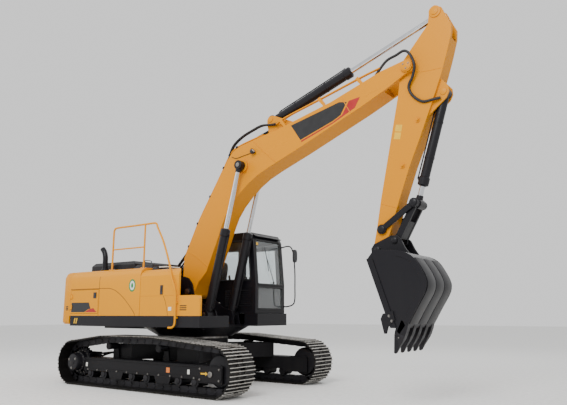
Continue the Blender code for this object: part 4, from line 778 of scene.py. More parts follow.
def makeTopAndTail():
    softened("engine_hood", "satinBlack", 0.012, 30, 3)
    top = body["top"]
    # raised cover at the right of the hood, with a chamfered rim
    x0, x1, y0, y1, h = -0.66, -0.12, -1.05, -0.50, 0.085
    low = np.array([at(x, y, top + 0.001) for x, y in ((x0, y0), (x1, y0), (x1, y1), (x0, y1))])
    high = np.array([at(x, y, top + h) for x, y in ((x0 + 0.05, y0 + 0.05), (x1 - 0.05, y0 + 0.05),
                                                    (x1 - 0.05, y1 - 0.05), (x0 + 0.05, y1 - 0.05))])
    make("top_cover_front", (np.vstack([low, high]), gridFaces(2, 4, False, True) + [[3, 2, 1, 0], [4, 5, 6, 7]]),
         "satinBlack", "upper", 0.008)
    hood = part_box("engine_hood")[1][2]
    grips = []
    for y in (-0.55, 0.55):
        grips.append(tube([at(-0.80, y - 0.08, hood - 0.01), at(-0.80, y - 0.08, hood + 0.025),
                           at(-0.80, y, hood + 0.032), at(-0.80, y + 0.08, hood + 0.025),
                           at(-0.80, y + 0.08, hood - 0.01)], 0.008))
    for y in (-0.45, 0.45):
        grips += [boxAt(-1.60, -1.05, y - 0.30, y + 0.30, hood - 0.002, hood + 0.010)]
    make("hood_grips", grips, "plastic", "engine_hood", 0.003)
    ribs = [boxAt(-1.56 + i * 0.055, -1.535 + i * 0.055, y - 0.26, y + 0.26, hood + 0.008, hood + 0.016)
            for i in range(9) for y in (-0.45, 0.45)]
    make("hood_grille_bars", ribs, "satinBlack", "engine_hood", 0.002)

    pipe = [(-1.40, -1.10, top), (-1.40, -1.10, top + 0.16), (-1.402, -1.10, top + 0.24),
            (-1.415, -1.10, top + 0.31), (-1.445, -1.10, top + 0.375), (-1.50, -1.10, top + 0.435)]
    line = spline([at(*p) for p in pipe], 8)
    outer, inner = sweep(line, circle(0.050, 32)), sweep(line[-14:] + 0.0015 * unit(line[-1] - line[-2]),
            circle(0.044, 32))
    make("exhaust_stack", outer, "satinBlack", "upper", 0.0, replaces=("exhaust_pipe",))
    make("exhaust_bore", inner, "blackLabel", "upper")
    make("exhaust_collar", lathe(at(-1.40, -1.10, top), zAxis,
                                 [(0.0, 0.085), (0.010, 0.085), (0.016, 0.062), (0.045, 0.058), (0.048, 0.052)],
                                 40), "satinBlack", "upper")

    face = body["half"]
    grilles = louvres(-1.98, -1.60, 1.35, 1.55, 1, 8, face) + louvres(-1.30, -0.84, 1.35, 1.55, 1, 8, face)
    make("left_grille_rear", grilles[:8], "satinBlack", "left_rear_door", 0.001)
    make("left_grille_front", grilles[8:], "satinBlack", "left_front_door", 0.001)

    # tail: lifting eyes, reflectors and three small blank marks
    eyes = []
    for side in (-1, 1):
        path = [at(-2.38, side * 0.55 - 0.06, 2.065), at(-2.38, side * 0.55 - 0.055, 2.115),
                at(-2.38, side * 0.55, 2.135), at(-2.38, side * 0.55 + 0.055, 2.115),
                at(-2.38, side * 0.55 + 0.06, 2.065)]
        eyes.append(tube(path, 0.014))
    make("lifting_eyes", eyes, "castYellow", "upper")
    lamps, rims = [], []
    for side in (-1, 1):
        angle = math.pi - side * 0.36
        out = np.array([math.cos(angle), math.sin(angle), 0])
        centre = at(2.742 * out[0], 2.742 * out[1], 1.36)
        rims.append(lathe(centre - out * 0.004, out, [(0, 0.060), (0.012, 0.060), (0.016, 0.052)], 32))
        lamps.append(lathe(centre + out * 0.006, out, [(0, 0.048), (0.010, 0.046), (0.015, 0.034), (0.017, 0.0)],
                           32))
    make("tail_lamp_rims", rims, "plastic", "upper")
    make("tail_lamp_lenses", lamps, "redLens", "upper")
    edge = [boxAt(-2.20, -2.13, -face - 0.0015, -face + 0.004, z, z + 0.02) for z in (1.345, 1.375, 1.405)]
    make("edge_marks", edge, "blackLabel", "upper")
    print("top and tail dressed")


def makeRails():
    rail = {"y": -1.20, "out": -1.38, "top": 2.88, "radius": 0.0175}
    y, out, top = rail["y"], rail["out"], rail["top"]
    loop = [(-1.06, y, 2.075), (-1.06, y, 2.40), (-1.06, y, top - 0.12), (-1.045, y, top - 0.035), (-0.97, y, top),
            (-0.55, y, top + 0.003), (-0.10, y, top + 0.006),
            (0.05, y, top + 0.006), (0.115, y - 0.003, top - 0.02), (0.155, y - 0.01, top - 0.09),
            (0.36, y - 0.045, 2.50), (0.58, -1.30, 2.10), (0.70, out + 0.012, 1.90), (0.79, out, 1.72),
            (0.825, out, 1.58), (0.83, out, 1.35), (0.83, out, 1.17), (0.815, out, 1.09), (0.76, out, 1.055),
            (0.68, out, 1.05)]
    shapes = [tube([at(*p) for p in loop], rail["radius"], 14, 6)]
    shapes.append(tube([at(-0.19, y, 2.075), at(-0.19, y, 2.5), at(-0.19, y, top + 0.003)], 0.016, 14, 4))
    shapes.append(tube([at(-1.06, y, 2.47), at(-0.6, y, 2.47), at(-0.19, y, 2.47)], 0.013, 12, 4))
    for x in (-1.06, -0.19):
        shapes.append(boxAt(x - 0.045, x + 0.045, y - 0.035, y + 0.035, 2.083, 2.094))
    for z in (1.20, 1.45):
        shapes.append(boxAt(0.805, 0.855, out, -body["half"] + 0.0005, z, z + 0.03))
    make("safety_rail", shapes, "yellow", "upper", 0.0, replaces=("handrail",))
    bolts = [hexBolt(at(x + dx, y + dy, 2.094), zAxis, 0.014, 0.008) for x in (-1.06, -0.19)
             for dx in (-0.033, 0.033) for dy in (-0.022, 0.022)]
    make("rail_bolts", bolts, "galvanised", "upper", smoothAngle=20)

    front = 1.31
    guard = [(1.03, 1.33, 2.60), (front - 0.12, 1.335, 2.625), (front - 0.04, 1.35, 2.61),
             (front - 0.005, 1.37, 2.54), (front + 0.01, 1.40, 2.40), (front + 0.02, 1.42, 2.1),
             (front + 0.02, 1.42, 1.80), (front + 0.018, 1.42, 1.58), (front - 0.01, 1.405, 1.47),
             (1.20, 1.375, 1.425), (1.085, 1.36, 1.42)]
    make("grab_loop", tube([at(*p) for p in guard], 0.013, 12, 6), "satinBlack", "upper", 0.0,
         replaces=("mirror_guard",))
    # mirror: a shallow moulded shell with its glass facing back
    ring = []
    for depth, share in ((0.0, 0.80), (0.012, 0.97), (0.03, 1.0), (0.045, 1.0)):
        angle = np.linspace(0, 2 * np.pi, 40, endpoint=False)
        # rounded rectangle: a superellipse of power 4
        c, s = np.cos(angle), np.sin(angle)
        ring.append(np.stack([np.full(40, front + 0.045 - depth),
                              1.425 + 0.060 * share * np.sign(c) * np.abs(c) ** 0.5,
                              2.43 + 0.13 * share * np.sign(s) * np.abs(s) ** 0.5], -1))
    points = np.vstack(ring) + np.array([swingX, 0, 0])
    make("mirror_shell", (points, gridFaces(4, 40, False, True) + [list(range(40))[::-1], list(range(120, 160))]),
         "plastic", "upper", 0.0)
    c, s = np.cos(angle), np.sin(angle)
    glass = np.stack([np.full(40, 1.425), 1.425 + 0.053 * np.sign(c) * np.abs(c) ** 0.5,
                      2.43 + 0.122 * np.sign(s) * np.abs(s) ** 0.5], -1)
    glass[:, 0] = front - 0.0015 + swingX
    back = glass + np.array([0.003, 0, 0])
    make("mirror_glass", (np.vstack([glass, back]), gridFaces(2, 40, False, True) + [list(range(40)),
            list(range(40, 80))[::-1]]), "mirror", "upper", 0.0)
    print("rails and mirror fitted")


def makeDeck():
    top = 2.045
    face = -body["half"]
    # tank: filler cap, tread plates and a small lamp box behind the boom
    make("filler_cap", [lathe(at(0.02, -1.09, top - 0.001), zAxis,
                              [(0, 0.075), (0.02, 0.075), (0.022, 0.062), (0.05, 0.060), (0.056, 0.050)], 36),
                        boxAt(-0.04, 0.08, -1.102, -1.078, top + 0.054, top + 0.066)], "plastic", "upper", 0.003)
    rows = [boxAt(x, x + 0.012, -1.15, -1.02, top, top + 0.006) for x in np.arange(0.26, 0.50, 0.035)]
    make("tank_tread", [boxAt(0.24, 0.52, -1.165, -1.00, top - 0.001, top + 0.003)] + rows, "galvanised", "upper",
         0.001)
    stepTop = 1.58
    shares = np.linspace(0.06, 0.94, 14)
    near, far = np.array([[0.93, -1.25], [1.22, -1.25]]), np.array([[0.36, -0.70], [0.66, -0.70]])

    def planPlate(ends, low, high):
        corners = [(x, y) for x, y in ends]
        rings = np.array([[at(x, y, z) for x, y in corners] for z in (low, high)])
        return rings.reshape(-1, 3), gridFaces(2, 4, False, True) + [[3, 2, 1, 0], [4, 5, 6, 7]]
    plate = planPlate([near[0], near[1], far[1], far[0]], stepTop - 0.001, stepTop + 0.003)
    rows = []
    for share in shares:
        a, b = near + (far - near) * share, near + (far - near) * (share + 0.016)
        rows.append(planPlate([a[0], a[1], b[1], b[0]], stepTop + 0.002, stepTop + 0.007))
    make("step_tread", [plate] + rows, "satinBlack", "upper", 0.001)
    make("lamp_box", boxAt(-0.06, 0.14, -0.95, -0.63, top - 0.002, top + 0.11), "satinBlack", "upper", 0.015)
    make("lamp_box_band", boxAt(-0.065, 0.145, -0.955, -0.625, top + 0.060, top + 0.082), "whiteLabel", "upper",
         0.002)

    # swing motor, valve cover and hoses between the boom cylinders
    make("swing_motor", [lathe(at(0.33, 0.0, 1.075), zAxis,
                               [(0, 0.15), (0.03, 0.15), (0.035, 0.125), (0.10, 0.12), (0.13, 0.105), (0.20, 0.10),
                                (0.22, 0.08), (0.225, 0.03)], 40),
                         boxAt(0.23, 0.43, -0.06, 0.06, 1.22, 1.31)], "satinBlack", "upper", 0.004)
    make("valve_cover", [boxAt(-0.55, 0.05, -0.20, 0.20, 1.08, 1.36)], "satinBlack", "upper", 0.012)
    # hose rail low on the deck, under the boom at its lowest
    manifold = [boxAt(0.49, 0.60, -0.24, 0.24, 1.078, 1.19), boxAt(0.595, 0.69, -0.20, 0.20, 1.078, 1.098)]
    make("hose_manifold", manifold, "satinBlack", "upper", 0.006)
    fittings, collars, hoses = [], [], []
    for y in (-0.165, -0.105, 0.105, 0.165):
        union = at(0.655, y, 1.096)
        fittings.append(lathe(union, zAxis, [(0, 0.022), (0.026, 0.022), (0.030, 0.015), (0.036, 0.015),
                                             (0.040, 0.020), (0.056, 0.020)], 6))
        collars.append(lathe(union + zAxis * 0.056, zAxis, [(0, 0.019), (0.038, 0.019), (0.042, 0.016)], 16))
        hoses.append(tube([union + zAxis * 0.094, at(0.655, y, 1.205), at(0.645, y, 1.226), at(0.615, y, 1.236),
                           at(0.580, y * 0.98, 1.222), at(0.565, y * 0.96, 1.186)], 0.014, 12))
    make("hose_fittings", fittings, "zinc", "upper", smoothAngle=20)
    make("hose_collars", collars, "galvanised", "upper")
    make("deck_hoses", hoses, "rubber", "upper")
    brackets = []
    for side in (-1, 1):
        pin = pivot("boom_lift")
        brackets.append(lathe(pin + np.array([0, side * 0.266, 0]), side * yAxis,
                              [(0, 0.062), (0.010, 0.062), (0.014, 0.055), (0.016, 0.0)], 32))
        brackets += [hexBolt(pin + np.array([0.028 * c, side * 0.279, 0.028 * s]), side * yAxis, 0.016, 0.010)
                     for c, s in ((1, 0), (-0.5, 0.87), (-0.5, -0.87))]
        foot = pivot(f"boom_barrel_{'left' if side > 0 else 'right'}_pivot")
        brackets.append(lathe(np.array([foot[0], side * 0.438, foot[2]]), side * yAxis,
                              [(0, 0.048), (0.008, 0.048), (0.0112, 0.040)], 28))
    make("foot_pin_caps", brackets, "steel", "upper")
    plateFront = boxAt(0.10, 0.20, cab["inner"] - 0.0015, cab["inner"] + 0.001, 1.32, 1.38)
    make("platform_label", plateFront, "whiteLabel", "upper")
    print("deck dressed")


# cab
cab = {
    "inner": 0.45, "outer": 1.40, "rear": -0.65, "front": 1.085, "floor": 1.285, "roof": 2.845,
    "side": [(-0.54, 1.92), (0.96, 1.92), (0.90, 2.68), (-0.54, 2.68)],
    "door": [(0.08, 1.80), (0.91, 1.80), (0.91, 1.86), (0.86, 2.58), (0.08, 2.58)],
    "rearSide": [(-0.56, 1.90), (-0.10, 1.90), (-0.10, 2.62), (-0.56, 2.62)],
    "seal": 0.011,
}


def frontX(z):
    return cab["front"] if z <= 1.85 else cab["front"] - 0.075 * (z - 1.85) / 0.85


def roundedLoop(corners, radius, steps=6):
    # each corner replaced by a short quadratic curve between its two tangent points
    corners = np.asarray(corners, float)
    back = unit(np.roll(corners, 1, 0) - corners) * radius
    ahead = unit(np.roll(corners, -1, 0) - corners) * radius
    t = np.linspace(0, 1, steps)[None, :, None]
    start, middle, end = (corners + back)[:, None], corners[:, None], (corners + ahead)[:, None]
    return (start * (1 - t) ** 2 + 2 * middle * t * (1 - t) + end * t ** 2).reshape(-1, corners.shape[1])


def seal(corners, radius=0.05, thick=None):
    # rubber glazing strip round a pane: a flattened round section
    size = thick or cab["seal"]
    return sweep(roundedLoop(corners, radius), circle(1.0, 8) * np.array([size * 1.5, size]), closed=True)


def makeCab():
    softened("cab_shell", "satinBlack", 0.014, 30, 3)
    softened("cab_door", "satinBlack", 0.008, 30, 2)
    for node in ("windscreen_upper", "windscreen_lower", "window_right", "window_left", "window_rear",
                 "door_glass"):
        nodes[node].data.materials.clear()
        nodes[node].data.materials.append(finishes["glass"])
    inner, outer = cab["inner"], cab["outer"]
    seals = [seal([at(x, inner - 0.001, z) for x, z in cab["side"]]),
             seal([at(x, outer + 0.001, z) for x, z in cab["rearSide"]]),
             seal([at(cab["rear"] - 0.001, y, z) for y, z in ((inner + 0.07, 1.92), (outer - 0.07, 1.92),
                     (outer - 0.07, 2.66), (inner + 0.07, 2.66))])]
    for low, high in ((1.84, 2.70), (1.37, 1.785)):
        seals.append(seal([at(frontX(z) + 0.001, y, z) for y,
                           z in ((inner + 0.07, low), (outer - 0.07, low), (outer - 0.07, high),
                                 (inner + 0.07, high))], 0.04))
    make("glazing_seals", seals, "rubber", "upper")
    make("door_seal", seal([at(x, outer + 0.001, z) for x, z in cab["door"]]), "rubber", "cab_door")

    # louvred panel and a blank plate low on the inner side
    panel = [(0.30, 1.34), (1.02, 1.34), (1.02, 1.78), (0.30, 1.78)]
    slats = louvres(0.34, 0.98, 1.42, 1.74, -1, 9, inner)
    make("cab_louvres", slats, "satinBlack", "upper", 0.001)
    make("cab_panel", prism(panel, sideView, inner + 0.001, inner - 0.003), "black", "upper", 0.001)
    make("cab_plate", boxAt(0.10, 0.20, inner - 0.0015, inner + 0.001, 1.42, 1.50), "whiteLabel", "upper")
    make("cab_handle", [tube([at(0.86, outer - 0.002, 1.55), at(0.86, outer + 0.035, 1.57),
                              at(0.86, outer + 0.042, 1.66), at(0.86, outer + 0.035, 1.75),
                              at(0.86, outer - 0.002, 1.77)], 0.010),
                        boxAt(0.83, 0.90, outer - 0.003, outer + 0.008, 1.42, 1.50)], "plastic", "cab_door", 0.002)

    roof = cab["roof"]
    hatch = roundedLoop([at(x, y, roof + 0.002) for x, y in ((-0.30, inner + 0.18), (0.45, inner + 0.18),
            (0.45, outer - 0.18), (-0.30, outer - 0.18))], 0.08)
    lid = np.vstack([hatch, hatch + np.array([0, 0, 0.022])])
    count = len(hatch)
    make("roof_hatch", (lid, gridFaces(2, count, False, True) + [list(range(count))[::-1],
            list(range(count, 2 * count))]), "trim", "upper", 0.006, segments=3)
    visor = [(0.93, 2.79), (1.03, 2.755), (1.05, 2.765), (0.95, 2.815)]
    make("roof_visor", prism(visor, sideView, inner + 0.05, outer - 0.05), "satinBlack", "upper", 0.004)
    wiper = [tube([at(frontX(1.88) + 0.018, 1.02, 1.88), at(frontX(2.1) + 0.022, 0.93, 2.10),
                   at(frontX(2.35) + 0.018, 0.84, 2.35)], 0.006, 8),
             tube([at(frontX(2.12) + 0.012, 0.88, 2.10), at(frontX(2.35) + 0.012, 0.84, 2.35),
                   at(frontX(2.58) + 0.012, 0.79, 2.58)], 0.007, 8),
             lathe(at(frontX(1.88) + 0.002, 1.02, 1.88), xAxis, [(0, 0.022), (0.018, 0.020), (0.022, 0.014)], 20)]
    make("wiper", wiper, "plastic", "upper", 0.0)
    make("screen_sticker", boxAt(frontX(2.62) + 0.0005, frontX(2.62) + 0.0035, inner + 0.085, inner + 0.15, 2.595,
                                 2.645), "yellowLabel", "upper")
    print("cab glazed")


def cushion(name, centre, size, power=0.55, lean=0.0, channels=0, body="upper"):
    # superellipsoid: crowned faces, sides drawn in between rounded corners; sewn channels lower the top by a few mm
    u = np.linspace(0, 2 * np.pi, 72, endpoint=False)
    v = np.linspace(-np.pi / 2, np.pi / 2, 37)[1:-1]
    uu, vv = np.meshgrid(u, v)

    def signed(value, exponent):
        return np.sign(value) * np.abs(value) ** exponent
    x = signed(np.cos(vv), power) * signed(np.cos(uu), 0.35)
    y = signed(np.cos(vv), power) * signed(np.sin(uu), 0.35)
    z = signed(np.sin(vv), 0.75)
    if channels:
        z = z - 0.06 * (np.abs(np.sin(y * np.pi * channels / 2)) < 0.12) * (z > 0.5)
    points = np.stack([x * size[0] / 2, y * size[1] / 2, z * size[2] / 2], -1).reshape(-1, 3)
    turn = np.array(Matrix.Rotation(math.radians(lean), 3, "Y"))
    points = points @ turn.T + centre
    rows, columns = uu.shape
    faces = gridFaces(rows, columns, False, True) + [list(range(columns))[::-1],
                                                     list(range((rows - 1) * columns, rows * columns))]
    piece = make(name, (points, faces), "cloth", body, 0.0, 60)
    return piece


def makeCabin():
    seatY = (cab["inner"] + cab["outer"]) / 2
    floor = 1.325
    base = [boxAt(-0.27, 0.17, seatY - 0.17, seatY + 0.17, floor + 0.001, floor + 0.10),
            boxAt(-0.25, 0.20, seatY - 0.21, seatY + 0.21, floor + 0.26, floor + 0.30)]
    bellows = lathe(at(-0.04, seatY, floor + 0.10), zAxis, [(0.02 * i, 0.17 + 0.012 * (i % 2)) for i in range(9)],
                    40)
    make("seat_base", base + [bellows], "plastic", "upper", 0.008, replaces=("operator_seat",))
    cushion("seat_cushion", at(0.0, seatY, floor + 0.365), (0.50, 0.49, 0.125), channels=3)
    cushion("seat_back", at(-0.255, seatY, floor + 0.72), (0.62, 0.47, 0.115), lean=-82, channels=3)
    cushion("seat_headrest", at(-0.325, seatY, floor + 1.02), (0.16, 0.27, 0.085), lean=-84)
    consoles, sticks, tops = [], [], []
    for side in (-1, 1):
        y = seatY + side * 0.335
        consoles.append(prism([(-0.20, floor + 0.30), (0.30, floor + 0.30), (0.41, floor + 0.42),
                               (0.40, floor + 0.49), (0.10, floor + 0.50), (-0.20, floor + 0.47)], sideView,
                               y - 0.07, y + 0.07))
        consoles.append(boxAt(-0.16, 0.10, y - 0.045, y + 0.045, floor + 0.49, floor + 0.535))
        sticks.append(tube([at(0.32, y, floor + 0.47), at(0.335, y, floor + 0.56), at(0.325, y, floor + 0.64)],
                           0.011))
        tops.append(lathe(at(0.328, y, floor + 0.60), np.array([-0.15, 0, 1.0]),
                          [(0, 0.014), (0.02, 0.021), (0.07, 0.024), (0.10, 0.019), (0.112, 0.010)], 24))
        tops.append(lathe(at(0.318, y, floor + 0.49), zAxis,
                          [(0, 0.050), (0.015, 0.045), (0.03, 0.030), (0.045, 0.020)], 24))
        lever = seatY + side * 0.075
        sticks.append(tube([at(0.66, lever, floor), at(0.67, lever, floor + 0.16), at(0.62, lever, floor + 0.42),
                            at(0.56, lever, floor + 0.62)], 0.010))
        tops.append(lathe(at(0.56, lever, floor + 0.60), np.array([-0.3, 0, 1.0]),
                          [(0, 0.014), (0.02, 0.019), (0.08, 0.019), (0.09, 0.012)], 20))
        consoles.append(prism([(0.62, floor + 0.001), (0.88, floor + 0.05), (0.88, floor + 0.062),
                               (0.62, floor + 0.014)], sideView, lever - 0.055, lever + 0.055))
    consoles.append(prism([(0.55, floor), (1.0, floor), (1.0, floor + 0.012), (0.55, floor + 0.012)], sideView,
                          0.52, 1.33))
    make("cab_consoles", consoles, "trim", "upper", 0.010)
    make("cab_levers", sticks, "steel", "upper")
    make("cab_lever_grips", tops, "rubber", "upper")
    monitor = [boxAt(0.86, 0.90, 0.53, 0.70, 1.86, 1.98)]
    make("cab_monitor", monitor + [tube([at(0.89, 0.60, 1.87), at(0.95, 0.56, 1.80), at(1.02, 0.52, 1.80)], 0.012)],
         "plastic", "upper", 0.006)
    print("cab furnished")


# boom, arm and linkage
boomTop = [(0.30, 0.64), (0.60, 0.785), (0.99, 0.975), (1.45, 1.15), (1.96, 1.345), (2.20, 1.445), (2.37, 1.48),
           (2.58, 1.425), (3.05, 1.205)]


def offsetLine(line, distance):
    # the line moved square to itself
    line = np.asarray(line, float)
    direction = unit(np.gradient(line, axis=0))
    return line + distance * np.stack([-direction[:, 1], direction[:, 0]], -1)


def pipesAlong(line, place, yList, radius, lift):
    raised = offsetLine(line, lift)
    return [tube([place(u, w, y) for u, w in raised], radius, 12, 5) for y in yList]


def makeBoom():
    softened("boom", "boomYellow", 0.006, 28, 2, clamp=False)
    side = 0.2105
    # weld beads: doubler plates and joints on both sides
    beads = []
    for y in (-side, side):
        for path in (((0.62, 0.10), (0.52, 0.42), (0.40, 0.66)), ((2.96, 0.60), (2.90, 0.90), (2.84, 1.28)),
                     ((4.55, 0.17), (4.60, 0.50))):
            beads.append(tube([onBoom(u, w, y) for u, w in path], 0.007, 8, 6))
    make("boom_weld_beads", beads, "boomYellow", "boom")

    # steel pipes with clamps on the top plate
    pipes = pipesAlong(boomTop, onBoom, (-0.165, -0.125, -0.055, 0.055, 0.125, 0.165), 0.0145, 0.030)
    frontRun = [(3.39, 1.16), (3.62, 1.10), (4.29, 0.82), (5.07, 0.50), (5.38, 0.36)]
    pipes += [tube([onBoom(u, w, y) for u, w in frontRun], 0.0135, 12, 5) for y in (-0.192, -0.167, 0.167, 0.192)]
    make("boom_pipes", pipes, "boomYellow", "boom")
    clamps = []
    lift, width = 0.030, 0.190
    fine = offsetLine(spline(boomTop, 10), lift)
    tangent = unit(np.gradient(fine, axis=0))
    for i in range(6, len(fine) - 4, 12):
        u, w = fine[i]
        c, s = tangent[i]
        rim = [(u - 0.022 * c + 0.028 * s, w - 0.022 * s - 0.028 * c),
               (u + 0.022 * c + 0.028 * s, w + 0.022 * s - 0.028 * c),
               (u + 0.022 * c - 0.020 * s, w + 0.022 * s + 0.020 * c),
               (u - 0.022 * c - 0.020 * s, w - 0.022 * s + 0.020 * c)]
        clamps += [prism(rim, onBoom, -width, width)] if u < 2.7 else [prism(rim, onBoom, -width, -0.115),
                prism(rim, onBoom, 0.115, width)]
    make("boom_pipe_clamps", clamps, "satinBlack", "boom", 0.004)

    stands = []
    for u, w in ((3.50, 1.125), (4.29, 0.82), (5.00, 0.53)):
        for low, high in ((-0.207, -0.154), (0.154, 0.207)):
            stands.append(prism([(u - 0.02, w - 0.22), (u + 0.02, w - 0.22), (u + 0.03, w - 0.03),
                                 (u + 0.03, w + 0.028), (u - 0.03, w + 0.028), (u - 0.03, w - 0.03)], onBoom, low,
                                 high))
    make("boom_pipe_stands", stands, "boomYellow", "boom", 0.004)
    # hoses that arch over the knee and a lead to the lamp
    arcs = [tube([onBoom(u, w, y) for u, w in ((2.20, 1.44), (2.30, 1.52), (2.47, 1.585), (2.70, 1.565),
                                               (2.93, 1.49), (3.14, 1.40), (3.30, 1.25), (3.40, 1.17))], 0.016, 12,
                                               6)
            for y in (-0.180, -0.140, 0.140, 0.180)]
    make("knee_hoses", arcs, "rubber", "boom")
    lead = [(2.30, 1.40), (2.36, 1.30), (2.50, 1.22), (2.66, 1.13)]
    make("lamp_lead", tube([onBoom(u, w, -side - 0.005) for u, w in lead], 0.006, 8, 6), "rubber", "boom")

    # blank side decals
    for y, tag in ((-side, "right"), (side, "left")):
        out = 1 if y > 0 else -1
        dark = [(3.60, 0.88), (3.58, 0.52), (4.24, 0.30), (4.40, 0.27), (4.62, 0.36), (4.52, 0.47)]
        red = [(3.57, 0.475), (4.22, 0.265), (4.66, 0.165), (4.84, 0.24), (4.66, 0.345), (4.42, 0.25),
               (4.22, 0.285), (3.58, 0.50)]
        make(f"boom_decal_black_{tag}", prism(dark, onBoom, y - 0.001 * out, y + 0.0012 * out), "blackLabel",
             "boom")
        make(f"boom_decal_red_{tag}", prism(red, onBoom, y - 0.001 * out, y + 0.0012 * out), "redLabel", "boom")

    # pin retainers at the cylinder bosses and the tip
    caps, bolts = [], []
    for out in (-1, 1):
        caps.append(lathe(pivot("arm_crowd") + yAxis * out * 0.243, out * yAxis,
                          [(0, 0.085), (0.012, 0.085), (0.018, 0.075), (0.020, 0.0)], 36))
        bolts += [hexBolt(pivot("arm_crowd") + yAxis * out * 0.261 + 0.05 * np.array([math.cos(a), 0, math.sin(a)]),
                          out * yAxis, 0.02, 0.010) for a in (0.5, 2.6, 4.7)]
        crowd = pivot("arm_barrel_pivot")
        caps.append(lathe(crowd + yAxis * out * 0.118, out * yAxis,
                          [(0, 0.052), (0.012, 0.052), (0.016, 0.044), (0.018, 0.0)], 32))
    make("boom_pin_caps", caps, "boomYellow", "boom")
    make("boom_pin_bolts", bolts, "steel", "boom", smoothAngle=20)
    lamp = onBoom(2.72, 1.09, -side)
    make("boom_lamp", [lathe(lamp - yAxis * 0.055 - boomAlong * 0.03, boomAlong,
                             [(0, 0.022), (0.015, 0.042), (0.06, 0.052), (0.072, 0.052), (0.072, 0.046),
                              (0.064, 0.044)], 32),
                       box(lamp - np.array([0.02, 0.05, 0.012]), lamp + np.array([0.02, 0.002, 0.012]))], "plastic",
                       "boom", 0.0)
    make("boom_lamp_lens", lathe(lamp - yAxis * 0.055 + boomAlong * 0.034, boomAlong,
                                 [(0, 0.044), (0.005, 0.036), (0.008, 0.0)], 32), "lens", "boom")
    print("boom dressed")


def makeArm():
    softened("arm", "boomYellow", 0.005, 28, 2, clamp=False)
    side = 0.1505
    caps, labels, beads = [], [], []
    for out in (-1, 1):
        crowdPin = onArm(-0.89, 0.30, out * 0.150)
        caps.append(lathe(crowdPin, out * yAxis, [(-0.01, 0.095), (0.015, 0.095), (0.020, 0.060), (0.030, 0.058),
                                                  (0.034, 0.045), (0.034, 0.0)], 36))
        curl = pivot("bucket_barrel_pivot")
        caps.append(lathe(curl + yAxis * out * 0.102, out * yAxis,
                          [(0, 0.055), (0.010, 0.055), (0.014, 0.045), (0.015, 0.0)], 32))
        for path in (((0.02, -0.11), (0.08, 0.20), (0.03, 0.55)), ((2.20, -0.10), (2.24, 0.18))):
            beads.append(tube([onArm(u, w, out * side) for u, w in path], 0.004, 8, 6))
        for u, w in ((0.93, -0.055), (1.055, -0.055)):
            labels.append(prism([(u, w), (u + 0.11, w), (u + 0.11, w + 0.11), (u, w + 0.11)], onArm,
                                out * side - 0.001 * out, out * side + 0.0015 * out))
    make("arm_pin_caps", caps, "boomYellow", "arm")
    make("arm_weld_beads", beads, "boomYellow", "arm")
    make("arm_labels", labels, "yellowLabel", "arm")
    lugs = []
    for u, w in ((0.85, 0.30), (1.58, 0.17)):
        for out in (-1, 1):
            lugs.append(prism([(u - 0.045, w - 0.03), (u + 0.045, w - 0.03), (u + 0.03, w + 0.03),
                               (u - 0.03, w + 0.03)], onArm, out * (side - 0.003), out * (side + 0.012)))
            lugs.append(lathe(onArm(u, w, out * (side + 0.010)), out * yAxis,
                              [(0, 0.020), (0.030, 0.018), (0.034, 0.014)], 20))
    make("arm_lugs", lugs, "boomYellow", "arm", 0.003)
    print("arm dressed")


def makeHoses():
    # hoses that cross the boom foot and the arm pin, fixed in place in this pose
    hose = {"radius": 0.016}
    foot = []
    for i, y in enumerate((-0.165, -0.125, -0.055, 0.055, 0.125, 0.165)):
        end = onBoom(0.32, 0.68, y)
        foot.append(tube([at(-0.52, y, 1.30), at(-0.56, y, 1.42), at(-0.62, y, 1.62), at(-0.615, y, 1.85),
                          at(-0.54, y, 2.05), at(-0.40, y, 2.18), end], hose["radius"], 12, 8))
    piece = make("foot_hoses", foot, "rubber", None, 0.0)
    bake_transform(piece)
    elbow = []
    for out in (-1, 1):
        y = out * 0.205
        line = [onBoom(5.25, 0.335, y * 0.8), onBoom(5.52, 0.37, y * 0.85), onBoom(5.70, 0.29, y),
                onArm(-0.24, -0.07, y * 1.22), onArm(-0.17, 0.05, y * 1.3)]
        line += [onArm(0.0, 0.145, y * 1.22), onArm(0.16, 0.125, y), onArm(0.32, 0.075, y * 0.9),
                 onArm(0.46, 0.155, y * 0.85), onArm(0.56, 0.33, y * 0.82),
                 onArm(0.53, 0.49, y * 0.78), onArm(0.49, 0.60, y * 0.62)]
        elbow.append(tube(line, 0.022, 12, 8))
    piece = make("elbow_hoses", elbow, "rubber", None, 0.0)
    tuple(onBoom(5.45, 0.36))
    tuple(onArm(0.20, 0.12))
    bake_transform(piece)
    print("hoses run")


